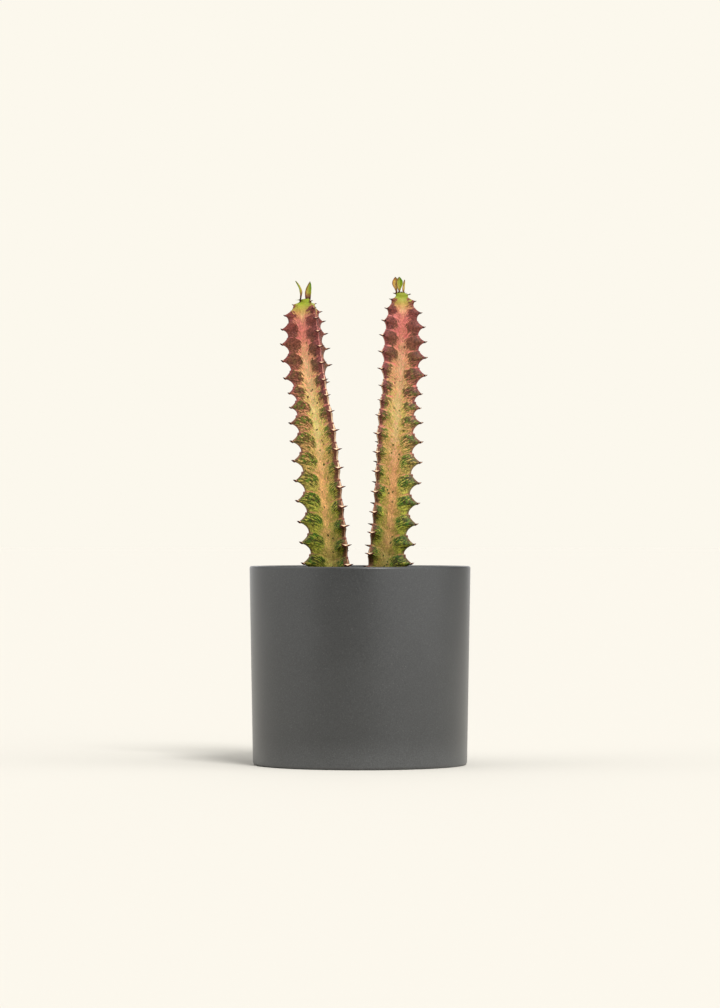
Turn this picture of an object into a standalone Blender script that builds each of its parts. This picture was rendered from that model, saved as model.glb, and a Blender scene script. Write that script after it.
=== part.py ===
# Potted African milk tree (Euphorbia trigona): two three-angled, thorny stems with
# a few young leaves at their tips, standing in soil in a plain cylindrical pot.
# Metres, +Z up. The origin is the centre of the pot's foot, and the front faces -Y.

import math

import bmesh
import bpy
from mathutils import Vector, noise

MM = 0.001
GAP = 0.35 * MM

# Pot: a slightly tapered cylinder with a thin wall, a rounded lip and a foot ring
POT_HEIGHT = 114.0 * MM
POT_TOP_RADIUS = 63.5 * MM
POT_BASE_RADIUS = 61.5 * MM
POT_WALL = 4.0 * MM
POT_FLOOR = 6.5 * MM
POT_LIP_ROUND = 1.3 * MM
POT_BASE_ROUND = 1.8 * MM
POT_FLOOR_FILLET = 4.0 * MM
FOOT_INNER_RADIUS = 53.5 * MM
FOOT_RECESS = 2.0 * MM
ROUND_SEGMENTS = 56

# Soil: a lumpy bed that stops a little below the rim
SOIL_TOP = 103.5 * MM
SOIL_RINGS = 7
SOIL_LUMP = 1.1 * MM
SOIL_LUMP_SIZE = 9.0 * MM
SOIL_CRUMB_SHARE = 0.4
SOIL_SEED = 17.0

# Stem section: three angles (ribs) round a solid core, with hollow faces between them
ANGLES = 3
SECTOR = 360.0 / ANGLES
COLUMN_DEGREES = (0.0, 4.5, 13.0, 30.0, 60.0, 90.0, 107.0, 115.5)
FACE_SHARE = 0.46
FLANK_POWER = 2.3
CREST_BLUNTNESS = 0.05
WAIST_WIDTH = 9.0
CURVE_STEPS = 12

# Below the soil the stems lose their teeth and end in a blunt root stock
STEM_BOTTOM = 66.0 * MM
BURIED_TAPER = 8.0 * MM
BURIED_STEP = 4.0 * MM
BURIED_END_SHARE = 0.62
HOLE_CLEARANCE = 0.45 * MM
HOLE_RISE = 8.0 * MM

# Teeth: each angle carries a row of hooked tubercles, each with a pair of thorns
TOOTH_HEIGHT_SHARE = 0.42
TOOTH_SPREAD = 0.25
TOOTH_VALLEY = 0.53
UNDERSIDE_POWER = 2.3
SHOULDER_POWER = 1.2
ROW_PHASES = (-0.04, 0.04, 0.22, 0.52, 0.76)
TOOTH_DROOP = 0.30
FACE_SWELL_SHARE = 0.018
LOWEST_TOOTH = SOIL_TOP + 5.0 * MM
TOOTH_FADE = 3.0 * MM
THORN_SHARE = 0.19
SHORTEST_THORN = 1.0 * MM
THORN_SPLAY = math.radians(44.0)
LEAST_THORNED = 0.6

# Growth: teeth start close together at the tip and spread to their full pitch
GROWTH_START = 0.6
GROWTH_STEPS = 60
FACE_BLEND = (20.0, 100.0)
DOME_HEIGHT = 0.9 * MM
DOME_RINGS = ((0.0, 0.30), (0.1, 0.66), (0.4, 0.93))

# Each stem, in millimetres and degrees: the line of its core from the buried end to
# the tip, the turn of its angles against the distance from the tip, its girth, its
# growth, how far each angle's teeth are shifted (in teeth, at the teeth numbered in
# SHIFT_AT), and its leaves, whose feet are measured from the tip.
SHIFT_AT = (0, 3, 6, 9, 12, 17)
LEFT_STEM = {
    "name": "left_stem",
    "line": (
        (-13.2, 2.0, 66), (-13.5, 2.0, 100), (-15.5, 2.1, 125), (-18.3, 2.4, 152),
        (-22.0, 2.9, 188), (-25.8, 3.3, 212), (-28.8, 3.7, 236), (-30.0, 4.1, 254),
        (-30.8, 4.4, 267),
    ),
    "first_angle": 180.0,
    "turn": ((0, -6), (35, -5), (60, 1), (85, 3), (120, 0), (210, -2)),
    "girth": {"full": 12.1, "youth": 8.0, "start": 3.0, "swell": 0.006, "waist": 0.09, "waist_at": 55},
    "growth": {"pitch": 11.64, "youth": 3.19, "check": 0.19, "check_at": 7.5, "check_width": 1.31},
    "shifts": (
        (-0.35, -0.04, -0.03, -0.18, -0.14, 0.03),
        (0.42, 0.42, 0.42, 0.56, 0.43, 0.28),
        (0.67, 0.41, 0.44, 0.48, 0.51, 0.66),
    ),
    "teeth": 18,
    "leaves": (
        {"foot": (-3.5, -0.6, -2.5), "rise": 12.6, "lean": (-3.4, -0.4), "bow": -1.1,
         "width": 3.0, "faces": 178.0},
        {"foot": (0.5, -0.9, -2.5), "rise": 12.6, "lean": (1.4, -0.3), "bow": -0.5,
         "width": 3.3, "faces": -70.0},
    ),
}
RIGHT_STEM = {
    "name": "right_stem",
    "line": (
        (11.4, -2.0, 66), (11.7, -2.0, 100), (13.4, -1.9, 121), (16.0, -1.7, 143),
        (17.7, -1.4, 167), (19.5, -0.9, 200), (21.8, -0.5, 222), (22.8, -0.2, 246),
        (23.7, 0.2, 270.5),
    ),
    "first_angle": 0.0,
    "turn": ((0, -15), (30, -14), (50, -10), (85, -6), (150, 1), (210, 2)),
    "girth": {"full": 12.1, "youth": 10.0, "start": 3.2, "swell": 0.001, "waist": 0.07, "waist_at": 56},
    "growth": {"pitch": 11.79, "youth": 3.2, "check": 0.28, "check_at": 8.05, "check_width": 1.19},
    "shifts": (
        (0.14, 0.35, 0.22, 0.32, 0.36, 0.26),
        (-0.45, -0.60, -0.63, -0.63, -0.63, -0.37),
        (0.11, 0.02, 0.02, 0.07, -0.07, 0.01),
    ),
    "teeth": 18,
    "leaves": (
        {"foot": (-2.2, -0.7, -2.5), "rise": 12.2, "lean": (-1.7, -0.5), "bow": -0.6,
         "width": 2.9, "faces": -120.0},
        {"foot": (-1.1, -0.9, -2.5), "rise": 12.2, "lean": (-0.4, -0.2), "bow": 0.3,
         "width": 3.4, "faces": -82.0},
        {"foot": (1.2, 0.3, -2.5), "rise": 9.4, "lean": (0.5, 0.2), "bow": 0.4,
         "width": 2.6, "faces": -5.0},
    ),
}

# Leaves: a narrow stalk, then a pointed blade folded along its midrib
LEAF_THICKNESS = 0.75 * MM
LEAF_EDGE = 0.60 * MM
LEAF_STATIONS = (0.0, 0.12, 0.28, 0.45, 0.62, 0.78, 0.90, 1.0)
LEAF_STALK_SHARE = 0.34
LEAF_STALK_WIDTH = 0.16
LEAF_SHOULDER_WIDTH = 0.55
LEAF_TIP_WIDTH = 0.06
LEAF_LEAST_HALF = 0.35 * MM
LEAF_FOLD = 0.22


def clear_scene():
    for obj in list(bpy.data.objects):
        bpy.data.objects.remove(obj, do_unlink=True)


def material(name, colour, roughness, metallic=0.0):
    made = bpy.data.materials.new(name)
    made.use_nodes = True
    shader = made.node_tree.nodes["Principled BSDF"]
    shader.inputs["Base Color"].default_value = (*colour, 1.0)
    shader.inputs["Roughness"].default_value = roughness
    shader.inputs["Metallic"].default_value = metallic
    return made


def object_from_bmesh(name, mesh, finish=None, smooth_angle=50.0):
    data = bpy.data.meshes.new(name)
    bmesh.ops.recalc_face_normals(mesh, faces=mesh.faces)
    mesh.to_mesh(data)
    mesh.free()
    data.shade_smooth()
    data.set_sharp_from_angle(angle=math.radians(smooth_angle))
    if finish:
        data.materials.append(finish)
    obj = bpy.data.objects.new(name, data)
    bpy.context.scene.collection.objects.link(obj)
    return obj


def apply_boolean(target, others, operation):
    """Joins or cuts target with the other objects, applies it and removes them."""
    group = bpy.data.collections.new(target.name + "_pieces")
    for other in others:
        group.objects.link(other)
    step = target.modifiers.new("boolean", "BOOLEAN")
    step.operand_type = "COLLECTION"
    step.collection = group
    step.operation = operation
    step.solver = "EXACT"
    bpy.context.view_layer.update()
    shown = target.evaluated_get(bpy.context.evaluated_depsgraph_get())
    made = bpy.data.meshes.new_from_object(shown)
    target.modifiers.clear()
    target.data = made
    for other in others:
        bpy.data.objects.remove(other, do_unlink=True)
    bpy.data.collections.remove(group)


def smoothstep(low, high, value):
    t = min(1.0, max(0.0, (value - low) / (high - low)))
    return t * t * (3.0 - 2.0 * t)


def eased_through(points, at):
    """A smooth curve through (place, value) points, level at every point."""
    if at <= points[0][0]:
        return points[0][1]
    for (low, start), (high, end) in zip(points, points[1:]):
        if at <= high:
            return start + (end - start) * smoothstep(low, high, at)
    return points[-1][1]


def arc(centre_r, centre_z, radius, start_degrees, end_degrees, steps):
    """Profile points (radius, height) along a round, ends included."""
    found = []
    for i in range(steps + 1):
        angle = math.radians(start_degrees + (end_degrees - start_degrees) * i / steps)
        found.append((centre_r + radius * math.cos(angle), centre_z + radius * math.sin(angle)))
    return found


def join_rings(mesh, rings):
    for lower, upper in zip(rings, rings[1:]):
        count = len(lower)
        for i in range(count):
            j = (i + 1) % count
            mesh.faces.new((lower[i], lower[j], upper[j], upper[i]))


def turned_rings(mesh, profile):
    """Rings of vertices turned from a profile of (radius, height), joined by quads."""
    rings = []
    for radius, height in profile:
        ring = []
        for i in range(ROUND_SEGMENTS):
            angle = 2.0 * math.pi * i / ROUND_SEGMENTS
            ring.append(mesh.verts.new((radius * math.cos(angle), radius * math.sin(angle), height)))
        rings.append(ring)
    join_rings(mesh, rings)
    return rings


# Pot
def pot_outer_radius(height):
    share = height / POT_HEIGHT
    return POT_BASE_RADIUS + (POT_TOP_RADIUS - POT_BASE_RADIUS) * share


def pot_inner_radius(height):
    return pot_outer_radius(height) - POT_WALL


def floor_fillet(clearance, start_degrees, end_degrees):
    """The round between the pot's wall and its floor, or one that fits inside it."""
    height = POT_FLOOR + POT_FLOOR_FILLET
    centre = pot_inner_radius(height) - POT_FLOOR_FILLET
    return arc(centre, height, POT_FLOOR_FILLET - clearance, start_degrees, end_degrees, 3)


def build_pot(finish):
    foot = [(FOOT_INNER_RADIUS - FOOT_RECESS, FOOT_RECESS), (FOOT_INNER_RADIUS, 0.0)]
    base_centre = pot_outer_radius(POT_BASE_ROUND) - POT_BASE_ROUND
    base = arc(base_centre, POT_BASE_ROUND, POT_BASE_ROUND, -90.0, 0.0, 4)
    lip_height = POT_HEIGHT - POT_LIP_ROUND
    outer_centre = pot_outer_radius(lip_height) - POT_LIP_ROUND
    inner_centre = pot_inner_radius(lip_height) + POT_LIP_ROUND
    lip = arc(outer_centre, lip_height, POT_LIP_ROUND, 0.0, 90.0, 3)
    lip += arc(inner_centre, lip_height, POT_LIP_ROUND, 90.0, 180.0, 3)
    mesh = bmesh.new()
    rings = turned_rings(mesh, foot + base + lip + floor_fillet(0.0, 0.0, -90.0))
    mesh.faces.new(rings[0])
    mesh.faces.new(rings[-1])
    return object_from_bmesh("pot", mesh, finish)


# Soil
def soil_height(x, y):
    lumps = noise.noise(Vector((x / SOIL_LUMP_SIZE, y / SOIL_LUMP_SIZE, SOIL_SEED)))
    crumb_size = SOIL_CRUMB_SHARE * SOIL_LUMP_SIZE
    crumbs = noise.noise(Vector((x / crumb_size, y / crumb_size, SOIL_SEED)))
    return SOIL_TOP + SOIL_LUMP * (lumps + SOIL_CRUMB_SHARE * crumbs)


def build_soil(finish, stems):
    mesh = bmesh.new()
    edge = pot_inner_radius(SOIL_TOP) - GAP
    rings = turned_rings(mesh, floor_fillet(GAP, -90.0, 0.0) + [(edge, SOIL_TOP)])
    mesh.faces.new(rings[0])
    surface = [rings[-1]]
    for step in range(1, SOIL_RINGS):
        share = 1.0 - step / SOIL_RINGS
        ring = []
        for vert in rings[-1]:
            x, y = vert.co.x * share, vert.co.y * share
            ring.append(mesh.verts.new((x, y, soil_height(x, y))))
        surface.append(ring)
    join_rings(mesh, surface)
    middle = mesh.verts.new((0.0, 0.0, soil_height(0.0, 0.0)))
    for i in range(ROUND_SEGMENTS):
        mesh.faces.new((surface[-1][i], surface[-1][(i + 1) % ROUND_SEGMENTS], middle))
    soil = object_from_bmesh("soil", mesh, finish)
    apply_boolean(soil, [stem.hole_cutter() for stem in stems], "DIFFERENCE")
    return soil


# Stems
def tooth_profile(phase):
    """How far a crest stands out between one tooth's point, at 0, and the next, at 1."""
    place = phase % 1.0
    if place < TOOTH_VALLEY:
        return ((TOOTH_VALLEY - place) / TOOTH_VALLEY) ** UNDERSIDE_POWER
    return ((place - TOOTH_VALLEY) / (1.0 - TOOTH_VALLEY)) ** SHOULDER_POWER


def crest_share(degrees):
    """0 on a crest and 1 in the middle of a face."""
    return min(degrees, SECTOR - degrees) / (0.5 * SECTOR)


def grown_outline(places, grow):
    """A level closed outline moved outwards along its own normals."""
    found = []
    count = len(places)
    for i in range(count):
        before, here, after = places[i - 1], places[i], places[(i + 1) % count]
        one = (here - before).normalized()
        two = (after - here).normalized()
        normal = Vector((one.y + two.y, -one.x - two.x, 0.0)).normalized()
        reach = grow / max(0.5, normal.dot(Vector((one.y, -one.x, 0.0))))
        found.append(here + normal * reach)
    return found


class Stem:
    """One three-angled stem. Distances along it run from the tip, downwards, in metres."""

    def __init__(self, plan):
        self.plan = plan
        self.points = self.core_line()
        self.lengths = [0.0]
        for upper, lower in zip(self.points, self.points[1:]):
            self.lengths.append(self.lengths[-1] + (lower - upper).length)
        self.length = self.lengths[-1]

    def core_line(self):
        """A Catmull-Rom curve through the plan's points, from the tip down."""
        knots = [Vector(point) * MM for point in reversed(self.plan["line"])]
        knots = [knots[0] * 2.0 - knots[1]] + knots + [knots[-1] * 2.0 - knots[-2]]
        found = []
        for a, b, c, d in zip(knots, knots[1:], knots[2:], knots[3:]):
            for i in range(CURVE_STEPS):
                t = i / CURVE_STEPS
                bend = (a * 2.0 - b * 5.0 + c * 4.0 - d) * t * t
                sway = (b * 3.0 - a - c * 3.0 + d) * t * t * t
                found.append(0.5 * (b * 2.0 + (c - a) * t + bend + sway))
        found.append(knots[-2])
        return found

    def frame(self, down):
        """The core's point at a distance from the tip, and its two cross directions."""
        place = min(max(down, 0.0), self.length)
        index = 0
        while index < len(self.lengths) - 2 and self.lengths[index + 1] < place:
            index += 1
        upper, lower = self.points[index], self.points[index + 1]
        share = (place - self.lengths[index]) / (self.lengths[index + 1] - self.lengths[index])
        above = self.points[max(index - 1, 0)]
        below = self.points[min(index + 2, len(self.points) - 1)]
        upward = (above - lower).lerp(upper - below, share).normalized()
        point = upper.lerp(lower, share) - upward * min(0.0, down)
        across = (Vector((1, 0, 0)) - upward * upward.x).normalized()
        return point, across, upward.cross(across)

    def crest_radius(self, down):
        """How far the crests lie from the core between the teeth."""
        girth = self.plan["girth"]
        at = max(down, 0.0) / MM
        young = 1.0 - math.exp(-(at + girth["start"]) / girth["youth"])
        off = (at - girth["waist_at"]) / WAIST_WIDTH
        waist = 1.0 - girth["waist"] * math.exp(-off * off)
        radius = (girth["full"] * young + girth["swell"] * at) * waist * MM
        end = smoothstep(self.length - BURIED_TAPER, self.length, down)
        return radius * (1.0 - (1.0 - BURIED_END_SHARE) * end)

    def pitch(self, count):
        """The distance between teeth near a growth number, counted from the tip."""
        growth = self.plan["growth"]
        young = 1.0 - math.exp(-(count + GROWTH_START) / growth["youth"])
        off = (count - growth["check_at"]) / growth["check_width"]
        return growth["pitch"] * young * (1.0 - growth["check"] * math.exp(-(off ** 4))) * MM

    def place_of(self, count):
        """The distance from the tip to a growth number: the sum of the pitches above it."""
        width = count / GROWTH_STEPS
        return sum(self.pitch((i + 0.5) * width) * width for i in range(GROWTH_STEPS))

    def tooth_count(self, angle, place):
        """The growth number of a place on an angle, with that angle's own shift."""
        shifts = self.plan["shifts"][angle % ANGLES]
        return place + eased_through(tuple(zip(SHIFT_AT, shifts)), place)

    def blended_count(self, angle, degrees, place):
        """The growth number between one angle and the next, blended across the face."""
        here = self.tooth_count(angle, place)
        there = self.tooth_count(angle + 1, place)
        return here + (there - here) * smoothstep(*FACE_BLEND, degrees)

    def toothed(self, down):
        """1 above the soil, falling to 0 where the teeth end just over it."""
        return smoothstep(LOWEST_TOOTH - TOOTH_FADE, LOWEST_TOOTH, self.frame(down)[0].z)

    def section(self, share, crest):
        """The section's radius between a crest and the middle of a face."""
        blunt = math.hypot(share, CREST_BLUNTNESS) - CREST_BLUNTNESS
        blunt /= math.hypot(1.0, CREST_BLUNTNESS) - CREST_BLUNTNESS
        face = FACE_SHARE * crest
        return face + (crest - face) * (1.0 - blunt) ** FLANK_POWER

    def surface(self, degrees, down, radius):
        point, across, along = self.frame(down)
        turned = eased_through(self.plan["turn"], down / MM)
        turn = math.radians(self.plan["first_angle"] + degrees + turned)
        return point + (across * math.cos(turn) + along * math.sin(turn)) * radius

    def columns(self):
        for angle in range(ANGLES):
            for degrees in COLUMN_DEGREES:
                yield angle, degrees

    def tooth_row(self, mesh, place):
        """A closed row of vertices that meets every angle at the same phase of a tooth."""
        found = []
        for angle, degrees in self.columns():
            share = crest_share(degrees)
            count = self.blended_count(angle, degrees, place)
            pitch = self.pitch(count)
            level = self.place_of(count)
            toothed = self.toothed(level)
            down = level + TOOTH_DROOP * pitch * share * toothed
            spread = math.exp(-((share / TOOTH_SPREAD) ** 2))
            swell = math.cos(2.0 * math.pi * place) * share * (2.0 - share)
            radius = self.section(share, self.crest_radius(down))
            radius += TOOTH_HEIGHT_SHARE * pitch * toothed * tooth_profile(place) * spread
            radius += FACE_SWELL_SHARE * pitch * toothed * swell
            found.append(mesh.verts.new(self.surface(angle * SECTOR + degrees, down, radius)))
        return found

    def level_row(self, mesh, height, grow=0.0):
        """A level row without teeth, grown outwards by an amount along its own normals."""
        down = self.length - (height - self.points[-1].z)
        places = []
        for angle, degrees in self.columns():
            radius = self.section(crest_share(degrees), self.crest_radius(down))
            place = self.surface(angle * SECTOR + degrees, down, radius)
            places.append(Vector((place.x, place.y, height)))
        if grow:
            places = grown_outline(places, grow)
        return [mesh.verts.new(place) for place in places]

    def dome_rows(self, mesh):
        """The domed tip, above the first teeth."""
        rows = []
        for down_share, share_out in DOME_RINGS:
            row = []
            for angle, degrees in self.columns():
                count = self.blended_count(angle, degrees, ROW_PHASES[0])
                top = self.place_of(max(0.0, count))
                down = top * down_share - DOME_HEIGHT * (1.0 - share_out ** 2)
                radius = self.section(crest_share(degrees), self.crest_radius(down)) * share_out
                row.append(mesh.verts.new(self.surface(angle * SECTOR + degrees, down, radius)))
            rows.append(row)
        return rows

    def build(self, finish):
        mesh = bmesh.new()
        rows = self.dome_rows(mesh)
        tooth_rows = []
        for number in range(self.plan["teeth"]):
            tooth_rows.append((number, len(rows)))
            for phase in ROW_PHASES:
                rows.append(self.tooth_row(mesh, number + phase))
        lowest = min(vert.co.z for vert in rows[-1])
        buried_rows = math.ceil((lowest - STEM_BOTTOM) / BURIED_STEP)
        for step in reversed(range(buried_rows)):
            rows.append(self.level_row(mesh, STEM_BOTTOM + BURIED_STEP * step))
        join_rings(mesh, rows)
        mesh.faces.new(rows[0])
        mesh.faces.new(rows[-1])
        for number, index in tooth_rows:
            self.add_thorns(mesh, number, rows[index], rows[index + 1])
        stem = object_from_bmesh(self.plan["name"], mesh, finish)
        apply_boolean(stem, [build_leaf(self, leaf) for leaf in self.plan["leaves"]], "UNION")
        return stem

    def add_thorns(self, mesh, number, upper, lower):
        """Draws the two small faces at each tooth's point out into a pair of thorns."""
        for angle in range(ANGLES):
            count = self.tooth_count(angle, number)
            down = self.place_of(count)
            if self.toothed(down) < LEAST_THORNED:
                continue
            length = max(SHORTEST_THORN, THORN_SHARE * self.pitch(count))
            crest = angle * len(COLUMN_DEGREES)
            outward = upper[crest].co.lerp(lower[crest].co, 0.5) - self.frame(down)[0]
            outward.z = 0.0
            outward.normalize()
            sideways = Vector((-outward.y, outward.x, 0.0))
            for side in (1, -1):
                beside = crest + side
                corners = [upper[crest], upper[beside], lower[beside], lower[crest]]
                face = mesh.faces.get(corners)
                reach = outward * math.cos(THORN_SPLAY) + sideways * side * math.sin(THORN_SPLAY)
                point = mesh.verts.new(face.calc_center_median() + reach * length)
                bmesh.ops.delete(mesh, geom=[face], context="FACES_ONLY")
                for i in range(4):
                    mesh.faces.new((corners[i], corners[(i + 1) % 4], point))

    def hole_cutter(self):
        """The plain hole that the stem stands in, a little wider than the stem."""
        mesh = bmesh.new()
        rows = [self.level_row(mesh, STEM_BOTTOM - GAP, HOLE_CLEARANCE)]
        steps = math.ceil((SOIL_TOP + HOLE_RISE - STEM_BOTTOM) / BURIED_STEP)
        for step in range(steps):
            rows.append(self.level_row(mesh, STEM_BOTTOM + BURIED_STEP * step, HOLE_CLEARANCE))
        join_rings(mesh, rows)
        mesh.faces.new(rows[0])
        mesh.faces.new(rows[-1])
        return object_from_bmesh(self.plan["name"] + "_hole", mesh)


# Leaves
def leaf_width(share):
    """The width along a leaf: a thin stalk, then a pointed blade."""
    if share < LEAF_STALK_SHARE:
        opened = smoothstep(0.3 * LEAF_STALK_SHARE, LEAF_STALK_SHARE, share)
        return LEAF_STALK_WIDTH + (LEAF_SHOULDER_WIDTH - LEAF_STALK_WIDTH) * opened
    blade = (share - LEAF_STALK_SHARE) / (1.0 - LEAF_STALK_SHARE)
    narrowing = (LEAF_SHOULDER_WIDTH - LEAF_TIP_WIDTH) * (1.0 - blade) ** 0.55
    return LEAF_TIP_WIDTH + narrowing + 0.62 * blade * (1.0 - blade) ** 0.8


def build_leaf(stem, plan):
    """A closed blade with a folded midrib, its foot sunk into the stem's tip."""
    foot = stem.frame(0.0)[0] + Vector(plan["foot"]) * MM
    facing = math.radians(plan["faces"])
    front = Vector((math.cos(facing), math.sin(facing), 0.0))
    side = Vector((-front.y, front.x, 0.0))
    lean = Vector((*plan["lean"], 0.0)) * MM
    widest = max(leaf_width(share) for share in LEAF_STATIONS)
    mesh = bmesh.new()
    rows = []
    for share in LEAF_STATIONS:
        bow = plan["bow"] * MM * math.sin(math.pi * share) * (1.0 - share)
        middle = foot + lean * share ** 1.6 + lean.normalized() * bow
        middle.z += plan["rise"] * MM * share
        half = max(0.5 * plan["width"] * MM * leaf_width(share) / widest, LEAF_LEAST_HALF)
        fold = LEAF_FOLD * half
        rows.append([mesh.verts.new(place) for place in (
            middle - side * half + front * (fold + 0.5 * LEAF_EDGE),
            middle + front * 0.5 * LEAF_THICKNESS,
            middle + side * half + front * (fold + 0.5 * LEAF_EDGE),
            middle + side * half + front * (fold - 0.5 * LEAF_EDGE),
            middle - front * 0.5 * LEAF_THICKNESS,
            middle - side * half + front * (fold - 0.5 * LEAF_EDGE),
        )])
    join_rings(mesh, rows)
    mesh.faces.new(rows[0])
    mesh.faces.new(rows[-1])
    return object_from_bmesh(stem.plan["name"] + "_leaf", mesh)


def main():
    clear_scene()
    charcoal = material("matte_charcoal_ceramic", (0.105, 0.105, 0.102), 0.55)
    peat = material("potting_soil", (0.035, 0.022, 0.014), 0.95)
    skin = material("succulent_skin", (0.30, 0.20, 0.085), 0.45)
    stems = [Stem(LEFT_STEM), Stem(RIGHT_STEM)]
    build_pot(charcoal)
    build_soil(peat, stems)
    for stem in stems:
        stem.build(skin)


main()
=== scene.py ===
import bisect
import functools
import math
import random

import bpy
from mathutils import Matrix, Vector, noise


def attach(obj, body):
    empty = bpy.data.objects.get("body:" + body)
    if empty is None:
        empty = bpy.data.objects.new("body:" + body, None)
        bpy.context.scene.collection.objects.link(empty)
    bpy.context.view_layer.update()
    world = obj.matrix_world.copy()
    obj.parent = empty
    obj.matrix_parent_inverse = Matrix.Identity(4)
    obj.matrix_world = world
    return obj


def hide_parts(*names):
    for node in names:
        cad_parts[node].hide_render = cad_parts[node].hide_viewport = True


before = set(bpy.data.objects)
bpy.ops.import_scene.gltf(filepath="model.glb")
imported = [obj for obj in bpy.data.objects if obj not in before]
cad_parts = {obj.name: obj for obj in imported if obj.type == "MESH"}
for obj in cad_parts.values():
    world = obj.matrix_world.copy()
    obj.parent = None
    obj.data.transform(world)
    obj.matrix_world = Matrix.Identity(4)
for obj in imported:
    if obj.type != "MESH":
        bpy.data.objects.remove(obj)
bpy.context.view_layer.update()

# Potted African milk tree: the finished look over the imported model. Metres, +Z up, front along -Y.
mm = 0.001
close = 0.01 * mm                  # places nearer than this are the same
print("frame loaded:", ", ".join(sorted(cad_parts)))


def smoothStep(low, high, value):
    t = min(1.0, max(0.0, (value - low) / (high - low)))
    return t * t * (3.0 - 2.0 * t)


def easedThrough(points, at):      # a smooth curve through (place, value) points
    if at <= points[0][0]:
        return points[0][1]
    for (low, start), (high, end) in zip(points, points[1:]):
        if at <= high:
            return start + (end - start) * smoothStep(low, high, at)
    return points[-1][1]


def linearFrom(hexColour):         # sRGB hex to the linear colour that a shader takes
    parts = [int(hexColour[i:i + 2], 16) / 255.0 for i in (1, 3, 5)]
    return [p / 12.92 if p <= 0.04045 else ((p + 0.055) / 1.055) ** 2.4 for p in parts] + [1.0]


def bell(value, width):            # 1 at nought, falling off to both sides
    return math.exp(-((value / width) ** 2))


def addNode(tree, kind, links=None, out=0, stops=None, **settings):
    # adds a node with its settings and what goes into its sockets, and gives one of its outputs
    node = tree.nodes.new("ShaderNode" + kind)
    for name, value in settings.items():
        setattr(node, name, value)
    if stops:                      # a ramp's stops, placed as shares of the last one
        ramp = node.color_ramp.elements
        while len(ramp) > 1:
            ramp.remove(ramp[-1])
        for number, (at, colour) in enumerate(stops):
            stop = ramp[0] if number == 0 else ramp.new(at / stops[-1][0])
            stop.position = at / stops[-1][0]
            stop.color = linearFrom(colour)
    for socket, value in (links or {}).items():
        if isinstance(value, bpy.types.NodeSocket):
            tree.links.new(value, node.inputs[socket])
        else:
            node.inputs[socket].default_value = value
    return node.outputs[out] if node.outputs else node


def startMaterial(name):           # an empty material, and what adds a node to it
    finish = bpy.data.materials.new(name)
    finish.use_nodes = True
    finish.node_tree.nodes.clear()
    return finish, functools.partial(addNode, finish.node_tree)


def addMarks(add, found, marks, change):
    # each mark is measured by a field; it goes from one value of that to another, between two levels.
    # Where they are given, other fields are added to the first by weight, and other marks confine it
    for name, (base, (start, end), (low, high), *more) in marks.items():
        added, within = (*more, {}, ())[:2]
        value = found[base]
        for other, weight in added.items():
            value = add("Math", {0: found[other], 1: weight, 2: value}, operation="MULTIPLY_ADD")
        value = add("MapRange", {
            "Value": value, "From Min": start, "From Max": found.get(end, end),
            "To Min": found.get(low, low), "To Max": high,
        }, interpolation_type=change)
        for other in within:
            value = add("Math", {0: value, 1: found[other]}, operation="MULTIPLY")
        found[name] = value


def deselectAll():
    if bpy.context.object and bpy.context.object.mode == "EDIT":
        bpy.ops.object.mode_set(mode="OBJECT")
    bpy.ops.object.select_all(action="DESELECT")


def makeActive(piece):
    deselectAll()
    piece.select_set(True)
    bpy.context.view_layer.objects.active = piece


def editMode(piece):
    makeActive(piece)
    bpy.ops.object.mode_set(mode="EDIT")


def startCylinder(name, sides, radius, bottom, top):       # left in edit mode
    deselectAll()
    bpy.ops.mesh.primitive_cylinder_add(
        vertices=sides, radius=radius, depth=top - bottom, location=(0, 0, (top + bottom) / 2))
    piece = bpy.context.object
    piece.name = name
    bpy.ops.object.transform_apply(location=True)
    editMode(piece)
    return piece


def turnOutwards():                # in edit mode, turns all faces outwards, then leaves edit mode
    bpy.ops.mesh.select_all(action="SELECT")
    bpy.ops.mesh.normals_make_consistent(inside=False)
    bpy.ops.object.mode_set(mode="OBJECT")


def pick(kind, test):              # in edit mode, selects what passes a test on its vertices' places
    bpy.ops.mesh.select_mode(type=kind)
    bpy.ops.mesh.select_all(action="DESELECT")
    bpy.ops.object.mode_set(mode="OBJECT")
    mesh = bpy.context.object.data
    parts = {"VERT": mesh.vertices, "EDGE": mesh.edges, "FACE": mesh.polygons}[kind]
    for part in parts:
        corners = [part.co] if kind == "VERT" else [mesh.vertices[v].co for v in part.vertices]
        if test(corners):
            part.select = True
    bpy.ops.object.mode_set(mode="EDIT")


def markVertices(piece, name, values):             # an attribute on the vertices, which a material reads
    layer = piece.data.attributes.new(name, "FLOAT", "POINT")
    layer.data.foreach_set("value", values)


def joinAll(name, parts):          # one piece from many copies, with its place in its mesh
    makeActive(parts[0])
    for part in parts:
        part.select_set(True)
    bpy.ops.object.join()
    bpy.ops.object.transform_apply(location=True, rotation=True, scale=True)
    piece = bpy.context.object
    piece.name = piece.data.name = name
    return piece


def copyOf(source, matrix):        # a copy with its own mesh, put in place by a matrix
    copied = source.copy()
    copied.data = source.data.copy()
    copied.matrix_world = matrix
    bpy.context.scene.collection.objects.link(copied)
    return copied


def finishPiece(piece, node, finish, sharpest):
    makeActive(piece)
    bpy.ops.object.shade_smooth_by_angle(angle=math.radians(sharpest))
    piece.data.materials.clear()
    piece.data.materials.append(finish)
    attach(piece, "root")
    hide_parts(node)
    print(piece.name, "made with", len(piece.data.polygons), "faces")


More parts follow.
